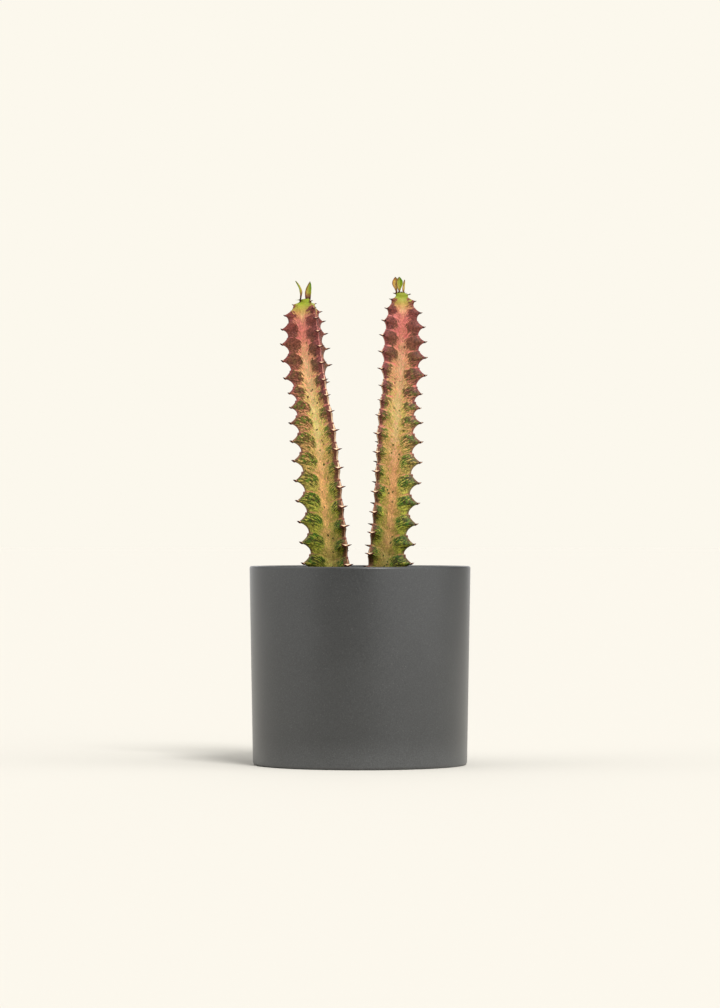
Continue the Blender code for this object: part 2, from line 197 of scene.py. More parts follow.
# Pot: matte charcoal ceramic
pot = {
    "height": 114.0, "topRadius": 63.5, "baseRadius": 61.5, "wall": 4.0, "floor": 6.5,
    "lipRound": 1.3, "baseRound": 1.8, "floorFillet": 4.0, "roundSteps": 6,
    "footRadius": 53.5, "footRecess": 2.0, "sides": 176,
    # the glaze: its grain, its clouds and its specks of sand in mm, and how high and how strongly the foot is
    # lightened, painted bounce light from the floor
    "grain": 0.7, "cloud": 30.0, "speck": 2.2, "sand": "#8b8b86", "paintedBounceHeight": 20.0, "paintedFootBounce": 1.65,
    "glaze": ((0.28, "#323233"), (0.5, "#393a3a"), (0.75, "#434444"), (1.0, "#4a4b4b")),
}


def potRadius(height):
    return (pot["baseRadius"] + (pot["topRadius"] - pot["baseRadius"]) * height / pot["height"]) * mm


def ringAt(radius, height):        # passes edges that lie on a level ring
    def test(corners):
        level = all(abs(c.z - height) < close for c in corners)
        return level and all(abs(math.hypot(c.x, c.y) - radius) < 10 * close for c in corners)
    return test


def makePot(finish):
    top, base = potRadius(pot["height"]), potRadius(0.0)
    height, floor, wall = pot["height"] * mm, pot["floor"] * mm, pot["wall"] * mm
    inner = potRadius(pot["floor"]) - wall
    piece = startCylinder("ceramicPot", pot["sides"], base, 0.0, height)
    # the top is widened, inset by the wall and pushed down to the floor, and the foot is hollowed
    pick("FACE", lambda corners: all(c.z > height - close for c in corners))
    bpy.ops.transform.resize(value=(top / base, top / base, 1))
    bpy.ops.mesh.inset(thickness=wall)
    bpy.ops.mesh.extrude_region_move(TRANSFORM_OT_translate={"value": (0, 0, floor - height)})
    bpy.ops.transform.resize(value=(inner / (top - wall), inner / (top - wall), 1))
    pick("FACE", lambda corners: all(c.z < close for c in corners))
    bpy.ops.mesh.inset(thickness=base - pot["footRadius"] * mm)
    bpy.ops.mesh.extrude_region_move(TRANSFORM_OT_translate={"value": (0, 0, pot["footRecess"] * mm)})
    share = (pot["footRadius"] - pot["footRecess"]) / pot["footRadius"]
    bpy.ops.transform.resize(value=(share, share, 1))
    for radius, level, size in (
        (top, height, pot["lipRound"]), (top - wall, height, pot["lipRound"]),
        (base, 0.0, pot["baseRound"]), (inner, floor, pot["floorFillet"]),
    ):
        pick("EDGE", ringAt(radius, level))
        bpy.ops.mesh.bevel(offset=size * mm, segments=pot["roundSteps"], affect="EDGES")
    turnOutwards()
    finishPiece(piece, "pot", finish, 35.0)


def makeCeramic():
    # earthenware with a sprayed matte charcoal glaze: even and soft, with a fine grain in it, lighter towards
    # the foot as painted bounce light from the floor
    finish, add = startMaterial("matte charcoal glazed earthenware")
    place = add("TexCoord", out="Object")
    found = {
        "grain": add("TexNoise", {
            "Vector": place, "Scale": 1 / (pot["grain"] * mm), "Detail": 2.0, "Roughness": 0.6}),
        "cloud": add("TexNoise", {"Vector": place, "Scale": 1 / (pot["cloud"] * mm), "Detail": 3.0}),
        "speck": add("TexVoronoi", {"Vector": place, "Scale": 1 / (pot["speck"] * mm), "Randomness": 1.0}),
        "height": add("SeparateXYZ", {0: place}, out="Z"),
    }
    addMarks(add, found, {
        "rough": ("grain", (0.3, 0.7), (0.30, 0.38)),
        "light": ("cloud", (0.3, 0.7), (0.92, 1.06))}, "LINEAR")
    # the foot mark lightens the glaze near the bottom: painted bounce light from the floor
    addMarks(add, found, {
        "foot": ("height", (0.0, pot["paintedBounceHeight"] * mm), (pot["paintedFootBounce"], 1.0), {}, ("light",)),
        "sand": ("speck", (0.16, 0.06), (0.0, 0.14))}, "SMOOTHSTEP")
    tone = add("ValToRGB", {"Fac": found["grain"]}, stops=pot["glaze"])
    tone = add("VectorMath", {0: tone, "Scale": found["foot"]}, operation="SCALE")
    colour = add("Mix", {0: found["sand"], 6: tone, 7: linearFrom(pot["sand"])}, out=2, data_type="RGBA")
    bump = add("Bump", {"Strength": 0.35, "Distance": 0.06 * mm, "Height": found["grain"]})
    shader = add("BsdfPrincipled", {
        "Base Color": colour, "Roughness": found["rough"], "IOR": 1.55, "Normal": bump})
    add("OutputMaterial", {"Surface": shader})
    return finish


makePot(makeCeramic())


# Soil: a damp peat mix with crumbs, bark and perlite
soil = {
    "top": 103.5, "bottom": 6.9, "rings": 34, "sides": 150, "gap": 0.35, "settled": 4.0, "wallShare": 0.35,
    "lump": 1.3, "lumpSize": 9.0, "grit": 0.55, "gritSize": 2.6, "seed": 17.0,
    "stemClear": 8.5, "wallClear": 1.6, "mostLean": 0.5, "dents": 1.3,
    # each material: its colours from dark to light, its grain in mm, its roughness and its relief in mm
    "finishes": {
        "damp peat": (((0.2, "#16100b"), (0.5, "#2e2117"), (0.8, "#4c3a29"), (1, "#6a543c")), 0.9, 0.92, 0.5),
        "shredded pine bark": (
            ((0.2, "#2f1d12"), (0.5, "#5b3a24"), (0.8, "#83593a"), (1, "#9c7450")), 1.1, 0.85, 0.25),
        "expanded perlite": (((0.2, "#b9b2a4"), (0.6, "#ddd8cc"), (1, "#efebe2")), 0.6, 0.9, 0.2),
    },
    # each loose grain: its material, how many shapes it has, their size, roughness and seed, then how
    # many lie on the soil, their sizes in mm, the share sunk in, the seed and the sharpest smooth edge
    "loose": {
        "soilCrumbs": ("damp peat", 4, (1.0, 0.8, 0.7), 0.55, 3.1, 620, (0.7, 2.4), 0.12, 5, 60.0),
        "barkChips": ("shredded pine bark", 3, (1.0, 0.42, 0.2), 0.5, 8.7, 64, (2.6, 6.5), 0.1, 11, 40.0),
        "perliteGrains": ("expanded perlite", 3, (1.0, 0.9, 0.8), 0.5, 5.3, 95, (0.6, 1.7), 0.2, 23, 50.0),
    },
}


def soilHeight(x, y):
    lumps = noise.noise(Vector((x, y, 0)) / (soil["lumpSize"] * mm) + Vector((0, 0, soil["seed"])))
    grit = noise.noise(Vector((x, y, 0)) / (soil["gritSize"] * mm) + Vector((0, 0, soil["seed"])))
    return (soil["top"] + soil["lump"] * lumps + soil["grit"] * grit) * mm


def makeSoilBed(finish):
    bottom, top = soil["bottom"] * mm, soil["top"] * mm
    low = potRadius(soil["bottom"]) - (pot["wall"] + soil["gap"]) * mm
    wide = potRadius(soil["top"]) - (pot["wall"] + soil["gap"]) * mm
    piece = startCylinder("soilBed", soil["sides"], low, bottom, top)
    pick("EDGE", ringAt(low, bottom))
    bpy.ops.mesh.bevel(offset=pot["floorFillet"] * mm, segments=4, affect="EDGES")
    pick("FACE", lambda corners: all(c.z > top - close for c in corners))
    bpy.ops.transform.resize(value=(wide / low, wide / low, 1))
    for ring in range(soil["rings"]):
        bpy.ops.mesh.inset(thickness=wide / (soil["rings"] + 1))
    bpy.ops.mesh.poke()
    bpy.ops.object.mode_set(mode="OBJECT")
    for vert in piece.data.vertices:               # lumps and grit, lower beside the wall
        if vert.co.z > top - close:
            settled = smoothStep(wide, wide - soil["settled"] * mm, math.hypot(vert.co.x, vert.co.y))
            rise = soilHeight(vert.co.x, vert.co.y) - top
            vert.co.z += rise * (soil["wallShare"] + (1.0 - soil["wallShare"]) * settled)
    finishPiece(piece, "soil", finish, 60.0)


def gritShape(name, size, rough, seed):            # one grain, its surface pushed about by noise
    deselectAll()
    bpy.ops.mesh.primitive_ico_sphere_add(subdivisions=2, radius=1.0)
    piece = bpy.context.object
    piece.name = name
    for vert in piece.data.vertices:
        push = noise.noise(vert.co * soil["dents"] + Vector((seed, 0, 0))) * rough
        vert.co = Vector(vert.co[i] * size[i] * (1.0 + push) for i in range(3))
    return piece


def scatter(name, shapes, count, sizes, sunk, seed):       # copies laid over the soil, clear of the stems
    draw = random.Random(seed)
    reach = potRadius(soil["top"]) - (pot["wall"] + soil["wallClear"]) * mm
    copies = []
    while len(copies) < count:
        size = draw.uniform(*sizes) * mm
        turn = draw.uniform(0, 2 * math.pi)
        out = (reach - size) * math.sqrt(draw.random())
        x, y = out * math.cos(turn), out * math.sin(turn)
        near = min(math.hypot(x - s["soilPlace"].x, y - s["soilPlace"].y) for s in stems)
        spin = Vector((draw.uniform(-1, 1), draw.uniform(-1, 1), draw.uniform(-1, 1)))
        lean = draw.uniform(-soil["mostLean"], soil["mostLean"])
        if near < soil["stemClear"] * mm + size:
            continue
        source = shapes[len(copies) % len(shapes)]
        tilt = Matrix.Rotation(lean, 4, spin.normalized()) @ Matrix.Rotation(turn * 7, 4, "Z")
        place = Matrix.Translation((x, y, soilHeight(x, y) + size * sunk))
        copies.append(copyOf(source, place @ tilt @ Matrix.Scale(size / 2, 4)))
    for source in shapes:
        bpy.data.objects.remove(source, do_unlink=True)
    return joinAll(name, copies)


def makeSoilFinish(name):
    # loose organic mix: no gloss, darker where its grain is low, in the pits of its bump
    stops, size, rough, relief = soil["finishes"][name]
    finish, add = startMaterial(name)
    place = add("TexCoord", out="Object")
    grain = add("TexNoise", {"Vector": place, "Scale": 1 / (size * mm), "Detail": 5.0, "Roughness": 0.7})
    broad = add("TexNoise", {"Vector": place, "Scale": 1 / (6 * size * mm), "Detail": 2.0})
    # the tone follows the bump's grain and the broad blotches, so the pits come out darker
    damp = add("Math", {0: broad, 1: 0.6, 2: grain}, operation="MULTIPLY_ADD")
    damp = add("Math", {0: damp, 1: 0.3}, operation="SUBTRACT")
    colour = add("ValToRGB", {"Fac": damp}, stops=stops)
    bump = add("Bump", {"Strength": 0.8, "Distance": relief * mm, "Height": grain})
    shader = add("BsdfPrincipled", {"Base Color": colour, "Roughness": rough, "IOR": 1.4, "Normal": bump})
    add("OutputMaterial", {"Surface": shader})
    return finish


def makeSoil():
    finishes = {name: makeSoilFinish(name) for name in soil["finishes"]}
    makeSoilBed(finishes["damp peat"])
    for name, (finish, kinds, size, rough, spread, *laid, sharpest) in soil["loose"].items():
        shapes = [gritShape(name + "Shape%d" % i, size, rough, spread * i) for i in range(kinds)]
        finishPiece(scatter(name, shapes, *laid), "soil", finishes[finish], sharpest)


# Stems: three angles round a solid core, and a row of thorny teeth down each angle. Distances along
# a stem run from its tip, downwards; a tooth number and its share give a place between the teeth.
skin = {
    # the section: how deep the faces are and how sharp the angles, and how full it is at the tip
    "faceShare": 0.46, "flankPower": 2.3, "bluntness": 0.05, "tipFullness": 0.30, "tipDepth": 2.4,
    "waistWidth": 9.0, "taper": 8.0, "endShare": 0.62,
    # the teeth: their height and shape as shares of the pitch, lower on the first young ones
    "toothHeight": 0.40, "youngTooth": 0.2, "youngSpan": 1.6, "toothSpread": 0.25, "valley": 0.53,
    "undersidePower": 2.3, "shoulderPower": 1.2, "toothFlat": 0.045, "flatCrown": 0.02,
    "droop": 0.30, "swell": 0.018, "lowestTooth": 108.5, "toothFade": 3.0, "bottom": 66.0, "teeth": 18,
    "leanSpread": 0.3, "peakLean": 0.4,
    "furrow": 0.22, "furrowWidth": 0.9, "furrowStart": (0.05, 0.3), "furrowEnd": (1.0, 0.55),
    "dimple": 0.10, "dimpleSize": 2.6, "dimpleFrom": 6.0,
    # a narrow hooked point on each tooth, as shares of the pitch and in mm on the young teeth
    "hook": 0.075, "youngHook": 0.8, "youngTeeth": 3.0, "hookSpread": 0.10,
    "hookAbove": 0.12, "hookBelow": 0.05,
    # growth: the table's steps to a tooth and its length, and the pitch at which all is full grown
    "growthStart": 0.6, "tableSteps": 100, "tableLength": 2200, "grownPitch": 8.0,
    "shiftAt": (0, 3, 6, 9, 12, 17), "faceBlend": (20.0, 100.0), "curveSteps": 12,
    # columns from a crest to the middle of a face, rows from one tooth to the next
    "columns": (0, 1.4, 3, 4.8, 7, 9.5, 12.5, 16, 20, 24.5, 29, 34, 39, 44, 49, 54.5),
    "phases": (-0.045, -0.015, 0.015, 0.045, 0.08, 0.12, 0.17, 0.22, 0.27, 0.33, 0.39, 0.45, 0.50,
               0.54, 0.59, 0.64, 0.69, 0.74, 0.79, 0.84, 0.88, 0.92),
    # the domed tip: how far out each ring is, and how far down towards the first tooth
    "dome": ((0.0, 0.10), (0.12, 0.06), (0.24, 0.02), (0.38, 0.02), (0.52, 0.05), (0.66, 0.10), (0.78, 0.20),
             (0.88, 0.32), (0.95, 0.50), (0.99, 0.75)),
    "domeHollow": 0.5, "hollowWidth": 0.35, "domeTop": 0.8, "domePlace": -0.05,
    "buriedRows": 9, "buriedFrom": 3.0, "buriedPitch": 10.0, "buriedPlace": 18.0,
    # the patches: what they spare beside the tip, how a tooth narrows them, and how they vary, in mm
    # or shares of a flank; then the horn round the thorns, and the sweep of the fine hairs
    "patchStart": ((0, 1.5), (0.3, 3.6), (0.6, 7.2), (1.0, 14.0)), "startSlope": 1.6,
    "finRoot": 0.42, "finOpen": 0.16, "finClose": (0.45, 1.0), "finEnd": 0.75, "wobble": 0.07,
    "hornReach": 9.0, "hornShare": 0.3, "faceDepth": 0.9, "sweep": 0.50, "sweepCurl": 0.06, "flankGap": 41.0,
}
# plain values for the flanks at the back and the sides, against the tooth number
plainReach = ((0, .3), (2, .5), (6, .55), (10, .6), (17, .65))
plainBand, backBand = ((0, .8), (17, 1.2)), ((0, .6), (17, .6))
plainEdgeAndSheen, backEdgeAndSheen = ((0, .1), (17, .3)), ((0, .0), (6, .1), (9, .35), (17, .35))
# each stem: its core line from the buried end up, where its first angle faces, how high its dome is
# and its youngest teeth stand, and its neck: how much narrower, how far down and how wide
leftStem = {
    "name": "leftStem", "node": "left_stem",
    "line": ((-13.2, 2.0, 66), (-13.5, 2.0, 100), (-15.5, 2.1, 125), (-18.3, 2.4, 152), (-22.0, 2.9, 188),
             (-25.4, 3.3, 212), (-28.4, 3.7, 236), (-30.0, 4.1, 254), (-30.8, 4.4, 267)),
    "firstAngle": 180.0, "domeHeight": 0.9, "youngStand": 2.0, "neck": (0.25, 1.3, 1.3),
    # colour scales at the tip, on the stripe and on the patches: partly the stem's own tone, partly painted
    # light that lightens this stem against the key light from the right
    "tipToneAndPaintedLight": (1.0, 1.0, 1.0), "stemToneAndPaintedLight": (1.10, 1.30, 1.24), "patchToneAndPaintedLight": 1.06, "thornShare": 0.33,
    # how far, in degrees, the teeth of each angle lean round the stem, against the place down it
    "tilt": (((0, 0),), ((0, -4.5), (30, -5), (55, -8.0)), ((0, 0), (35, 0), (55, 6.0))),
    "turn": ((0, -6), (35, -3), (60, 4), (85, 6), (120, 5), (210, 3)),
    "girth": {"full": 12.3, "youth": 5.9, "start": 2.2, "swell": 0.006, "waist": 0.09, "waistAt": 55},
    "growth": {"pitch": 11.64, "youth": 3.19, "check": 0.19, "checkAt": 7.5, "checkWidth": 1.31},
    "shifts": ((-0.35, -0.04, -0.03, -0.18, -0.14, 0.03), (0.42, 0.42, 0.42, 0.56, 0.43, 0.28),
               (0.67, 0.41, 0.44, 0.48, 0.51, 0.66)),
    # how far each flank's patches reach in from their crest, against the tooth number: for each
    # angle the flank before it and the one after it, going round
    "reach": (
        (plainReach, ((0, .3), (2, .48), (3, .58), (4, .68), (5, .7), (6, .6), (7, .46), (8, .75), (12, .72),
                      (17, .7))),
        (((0, .4), (2, .6), (3, .68), (4, .6), (5, .48), (7, .44), (12, .42), (17, .5)),
         ((0, .35), (2, .85), (5, .8), (7, .35), (12, .3), (17, .5))),
        (((0, .4), (2, .85), (5, .8), (7, .5), (17, .65)), plainReach),
    ),
    # the width in mm of the dark band along each ridge, before it and after it, and of its pale edge, which is
    # partly the crest's own paler skin and partly a painted highlight
    "band": (
        (backBand, backBand),
        (((0, 2.2), (4, 3.2), (8, 3.0), (12, 2.6), (17, 2.2)), ((0, 1.5), (17, 2.0))),
        (plainBand, plainBand),
    ),
    "margin": (
        (backEdgeAndSheen, backEdgeAndSheen),
        (((0, .1), (4, .25), (8, .55), (17, .5)), ((0, .3), (4.5, .4), (6, .9), (11.5, .85), (13, .4))),
        (plainEdgeAndSheen, plainEdgeAndSheen),
    ),
    "seed": 4,
    "leaves": (
        {"foot": (-3.5, -0.6, -1.1), "spines": -0.3, "rise": 12.1, "lean": (-2.8, -0.4), "curl": 4.0,
         "bow": -0.75, "width": 3.1, "faces": 155.0, "ripe": 0.5, "outline": "narrow"},
        {"foot": (0.9, -1.1, -2.0), "spines": 0.2, "rise": 12.7, "lean": (1.2, -0.3), "curl": 2.0,
         "bow": -0.35, "width": 3.7, "faces": -72.0, "ripe": 0.12, "outline": "broad"},
    ),
}
rightStem = {
    "name": "rightStem", "node": "right_stem",
    "line": ((11.4, -2.0, 66), (11.7, -2.0, 100), (13.4, -1.9, 121), (16.0, -1.7, 143), (17.7, -1.4, 167),
             (19.5, -0.9, 200), (21.8, -0.5, 222), (22.8, -0.2, 246), (23.7, 0.2, 270.5)),
    "firstAngle": 0.0, "domeHeight": 0.7, "youngStand": 0.5, "neck": (0.15, 2.2, 1.3),
    # colour scales as on the left stem: partly its own tone, partly painted light that darkens this stem where
    # the key light falls more
    "tipToneAndPaintedLight": (0.85, 0.82, 0.84), "stemToneAndPaintedLight": (0.78, 0.84, 0.84), "patchToneAndPaintedLight": 0.94, "thornShare": 0.29,
    "tilt": (((0, 0),), ((0, 0), (60, 0), (90, 7)), ((0, 3.0), (50, 6.5), (90, 10.0))),
    "turn": ((0, -18), (30, -16.5), (60, -14), (110, -12), (150, -10), (210, -9)),
    "girth": {"full": 11.85, "youth": 9.6, "start": 3.1, "swell": 0.001, "waist": 0.06, "waistAt": 56},
    "growth": {"pitch": 11.79, "youth": 3.2, "check": 0.28, "checkAt": 8.05, "checkWidth": 1.19},
    "shifts": ((0.14, 0.35, 0.22, 0.32, 0.36, 0.26), (-0.45, -0.60, -0.63, -0.63, -0.63, -0.37),
               (0.11, 0.02, 0.02, 0.07, -0.07, 0.01)),
    "reach": (
        (((0, .28), (1, .4), (2, .58), (4, .62), (5, .58), (6, .68), (8, .64), (10, .55), (12, .6), (17, .68)),
         ((0, .3), (2, .5), (6, .5), (10, .6), (17, .65))),
        (plainReach, plainReach),
        (((0, .3), (2, .5), (6, .5), (10, .5), (17, .6)), ((0, .3), (2, .45), (3, .5), (4, .7), (5, .58),
                                                           (6, .36), (9, .38), (12, .4), (17, .42))),
    ),
    "band": (
        (backBand, backBand),
        (plainBand, plainBand),
        (((0, 1.5), (17, 2.0)), ((0, 2.0), (4, 2.8), (8, 2.4), (17, 2.0))),
    ),
    "margin": (
        (backEdgeAndSheen, backEdgeAndSheen),
        (plainEdgeAndSheen, plainEdgeAndSheen),
        (((0, .4), (17, .4)), ((0, .3), (5, .4), (17, .4))),
    ),
    "seed": 9,
    "leaves": (
        {"foot": (-2.2, -0.3, -2.5), "spines": 0.2, "rise": 12.15, "lean": (-1.2, -0.2), "curl": 1.3,
         "bow": 0.4, "width": 4.0, "faces": -108.0, "ripe": 0.8, "outline": "stalked"},
        {"foot": (-0.9, -1.5, -2.5), "spines": 0.2, "rise": 12.15, "lean": (-0.2, -0.1), "curl": 1.5,
         "bow": 0.2, "width": 4.1, "faces": -80.0, "ripe": 0.05, "outline": "stalked"},
        {"foot": (1.2, 0.1, -2.5), "spines": 0.2, "rise": 10.6, "lean": (0.7, 0.2), "curl": 2.6,
         "bow": -0.2, "width": 2.4, "faces": -28.0, "ripe": 0.7, "outline": "narrow"},
    ),
}
stems = (leftStem, rightStem)


def growStem(stem):                # works out the core line and the table of growth once
    knots = [Vector(point) * mm for point in reversed(stem["line"])]
    knots = [knots[0] * 2.0 - knots[1]] + knots + [knots[-1] * 2.0 - knots[-2]]
    points = []
    for a, b, c, d in zip(knots, knots[1:], knots[2:], knots[3:]):
        for i in range(skin["curveSteps"]):
            t = i / skin["curveSteps"]
            bend = (a * 2.0 - b * 5.0 + c * 4.0 - d) * t * t
            sway = (b * 3.0 - a - c * 3.0 + d) * t * t * t
            points.append(0.5 * (b * 2.0 + (c - a) * t + bend + sway))
    points.append(knots[-2])
    lengths = [0.0]
    for upper, lower in zip(points, points[1:]):
        lengths.append(lengths[-1] + (lower - upper).length)
    stem["points"], stem["lengths"], stem["length"] = points, lengths, lengths[-1]
    # the place of each growth number, in small steps, from one tooth above the tip
    step = 1.0 / skin["tableSteps"]
    table = [0.0]
    for i in range(skin["tableLength"]):
        table.append(table[-1] + pitchAt(stem, -1.0 + (i + 0.5) * step) * step)
    stem["table"] = [value - table[skin["tableSteps"]] for value in table]
    stem["soilPlace"] = coreAt(stem, stem["length"] - (soil["top"] - skin["bottom"]) * mm)[0]


def coreAt(stem, down):            # the core's point, and its two directions across
    points, lengths = stem["points"], stem["lengths"]
    place = min(max(down, 0.0), stem["length"])
    index = min(max(bisect.bisect_left(lengths, place) - 1, 0), len(lengths) - 2)
    upper, lower = points[index], points[index + 1]
    share = (place - lengths[index]) / (lengths[index + 1] - lengths[index])
    above, below = points[max(index - 1, 0)], points[min(index + 2, len(points) - 1)]
    upward = (above - lower).lerp(upper - below, share).normalized()
    point = upper.lerp(lower, share) - upward * min(0.0, down)
    across = (Vector((1, 0, 0)) - upward * upward.x).normalized()
    return point, across, upward.cross(across)


def crestRadius(stem, down):
    girth, (narrower, neckAt, neckWidth) = stem["girth"], stem["neck"]
    at = max(down, 0.0) / mm
    young = 1.0 - math.exp(-(at + girth["start"]) / girth["youth"])
    waist = 1.0 - girth["waist"] * bell(at - girth["waistAt"], skin["waistWidth"])
    waist *= 1.0 - narrower * bell(at - neckAt, neckWidth)
    radius = (girth["full"] * young + girth["swell"] * at) * waist * mm
    end = smoothStep(stem["length"] - skin["taper"] * mm, stem["length"], down)
    return radius * (1.0 - (1.0 - skin["endShare"]) * end)


def pitchAt(stem, count):          # the distance between teeth near a growth number
    growth = stem["growth"]
    young = 1.0 - math.exp(-(count + skin["growthStart"]) / growth["youth"])
    off = (count - growth["checkAt"]) / growth["checkWidth"]
    return growth["pitch"] * young * (1.0 - growth["check"] * math.exp(-(off ** 4))) * mm


def downAt(stem, count):           # the distance from the tip to a growth number
    at = (count + 1.0) * skin["tableSteps"]
    index = min(max(int(at), 0), len(stem["table"]) - 2)
    low, high = stem["table"][index], stem["table"][index + 1]
    return low + (high - low) * (at - index)


def toothCount(stem, angle, place):
    return place + easedThrough(tuple(zip(skin["shiftAt"], stem["shifts"][angle % 3])), place)


def blendedCount(stem, angle, degrees, place):
    here, there = toothCount(stem, angle, place), toothCount(stem, angle + 1, place)
    return here + (there - here) * smoothStep(*skin["faceBlend"], degrees)


def toothProfile(phase):           # how far a crest stands out between one tooth's point and the next
    place, flat, valley = phase % 1.0, skin["toothFlat"], skin["valley"]
    if place < flat or place > 1.0 - flat:         # the small flat that carries the thorns
        low, high = toothProfile(1.0 - flat), toothProfile(flat)
        along = (place + flat) % 1.0 / (2.0 * flat)
        return low + (high - low) * along + skin["flatCrown"] * math.sin(math.pi * along)
    if place < valley:
        return ((valley - place) / valley) ** skin["undersidePower"]
    return ((place - valley) / (1.0 - valley)) ** skin["shoulderPower"]


def toothedAt(stem, down):
    low = skin["lowestTooth"] - skin["toothFade"]
    return smoothStep(low * mm, skin["lowestTooth"] * mm, coreAt(stem, down)[0].z)


def sectionRadius(share, crest, down):
    blunt = math.hypot(share, skin["bluntness"]) - skin["bluntness"]
    blunt /= math.hypot(1.0, skin["bluntness"]) - skin["bluntness"]
    fuller = skin["tipFullness"] * math.exp(-max(down, 0.0) / (skin["tipDepth"] * mm))
    face = (skin["faceShare"] + fuller) * crest
    return face + (crest - face) * (1.0 - blunt) ** skin["flankPower"]


def surfaceAt(stem, degrees, down, radius):
    point, across, along = coreAt(stem, down)
    turn = math.radians(stem["firstAngle"] + degrees + easedThrough(stem["turn"], down / mm))
    return point + (across * math.cos(turn) + along * math.sin(turn)) * radius


def shareOf(degrees):              # 0 on a crest, 1 in the middle of a face
    return min(degrees, 120.0 - degrees) / 60.0


def skinPoint(stem, angle, degrees, place):
    # a point on the toothed skin, how far down it is, and the pitch there
    share, count = shareOf(degrees), blendedCount(stem, angle, degrees, place)
    pitch, level, grown = pitchAt(stem, count), downAt(stem, count), max(count, 0.0)
    toothed = toothedAt(stem, level)
    down = level + skin["droop"] * pitch * share * toothed
    radius = sectionRadius(share, crestRadius(stem, down), down)
    tall = skin["toothHeight"] * (1.0 - skin["youngTooth"] * math.exp(-grown / skin["youngSpan"])) * pitch
    tall += stem["youngStand"] * mm * math.exp(-grown)
    radius += tall * toothed * toothProfile(place) * bell(share, skin["toothSpread"])
    radius += skin["swell"] * pitch * toothed * math.cos(2.0 * math.pi * place) * share * (2.0 - share)
    off = (place + 0.5) % 1.0 - 0.5
    peak = bell(off, skin["hookBelow"] if off > 0 else skin["hookAbove"])
    hook = skin["hook"] * pitch + skin["youngHook"] * mm * math.exp(-grown / skin["youngTeeth"])
    radius += hook * peak * toothed * bell(share, skin["hookSpread"])
    # a shallow furrow runs in from each valley between two teeth
    full = toothed * min(1.0, pitch / (skin["grownPitch"] * mm))
    valley = abs((place - skin["valley"] + 0.5) % 1.0 - 0.5) * pitch
    furrow = bell(valley, skin["furrowWidth"] * mm) * smoothStep(*skin["furrowStart"], share)
    radius -= skin["furrow"] * mm * furrow * smoothStep(*skin["furrowEnd"], share) * full
    # the teeth lean a little round the stem
    nearest = angle if degrees <= 60.0 else angle + 1
    lean = easedThrough(stem["tilt"][nearest % 3], down / mm) * (toothProfile(place) + skin["peakLean"] * peak)
    turned = angle * 120.0 + degrees + lean * full * bell(share, skin["leanSpread"])
    return surfaceAt(stem, turned, down, radius), down, pitch


def skinRows():                    # every row's kind and place, from the tip to the buried end
    rows = [("dome", ring) for ring in skin["dome"]]
    for number in range(skin["teeth"]):
        rows += [("tooth", number + phase) for phase in skin["phases"]]
    rows += [("buried", i / skin["buriedRows"]) for i in range(skin["buriedRows"] + 1)]
    return rows + [("end", 1.0)]


def rowPoint(stem, row, angle, degrees, lowest):
    kind, at = row
    if kind == "tooth":
        return skinPoint(stem, angle, degrees, at)
    share, turned = shareOf(degrees), angle * 120.0 + degrees
    if kind == "dome":
        out, downShare = at
        count = max(0.0, blendedCount(stem, angle, degrees, skin["phases"][0]))
        hollow = 1.0 - skin["domeHollow"] * smoothStep(skin["hollowWidth"], 0.0, out)
        down = downAt(stem, count) * downShare - stem["domeHeight"] * mm * (1.0 - out ** 4) * hollow
        radius = sectionRadius(share, crestRadius(stem, down), down) * out
        return surfaceAt(stem, turned, down, radius), down, pitchAt(stem, count)
    start, bottom = lowest - skin["buriedFrom"] * mm, skin["bottom"] * mm
    height = start - (start - bottom) * at
    down = stem["length"] - (height - bottom)
    radius = 0.0 if kind == "end" else sectionRadius(share, crestRadius(stem, down), down)
    point = surfaceAt(stem, turned, down, radius)
    point.z = height
    return point, down, skin["buriedPitch"] * mm


def patchFields(stem, wobble, flank, share, place, pitch, width, down):
    # how deep a place lies in its flank's patch and how near a valley it is, both in mm, and its share
    # of the way from one valley to the next
    phase = (place - skin["valley"]) % 1.0
    reach = easedThrough(stem["reach"][flank[0]][flank[1]], place)
    reach += wobble[(*flank, math.floor(place - skin["valley"]))]
    closing = skin["finEnd"] * smoothStep(*skin["finClose"], phase)
    opened = smoothStep(0.0, skin["finOpen"], phase) * (1.0 - closing)
    inward = (reach * (skin["finRoot"] + (1.0 - skin["finRoot"]) * opened) - share) * width
    started = skin["startSlope"] * (down - easedThrough(skin["patchStart"], share))
    return min(inward, started), min(phase, 1.0 - phase) * pitch / mm, phase


# what the colours are drawn from, kept on the skin's vertices
skinFields = ("down", "share", "patch", "valley", "lower", "crest", "band", "margin", "horn")


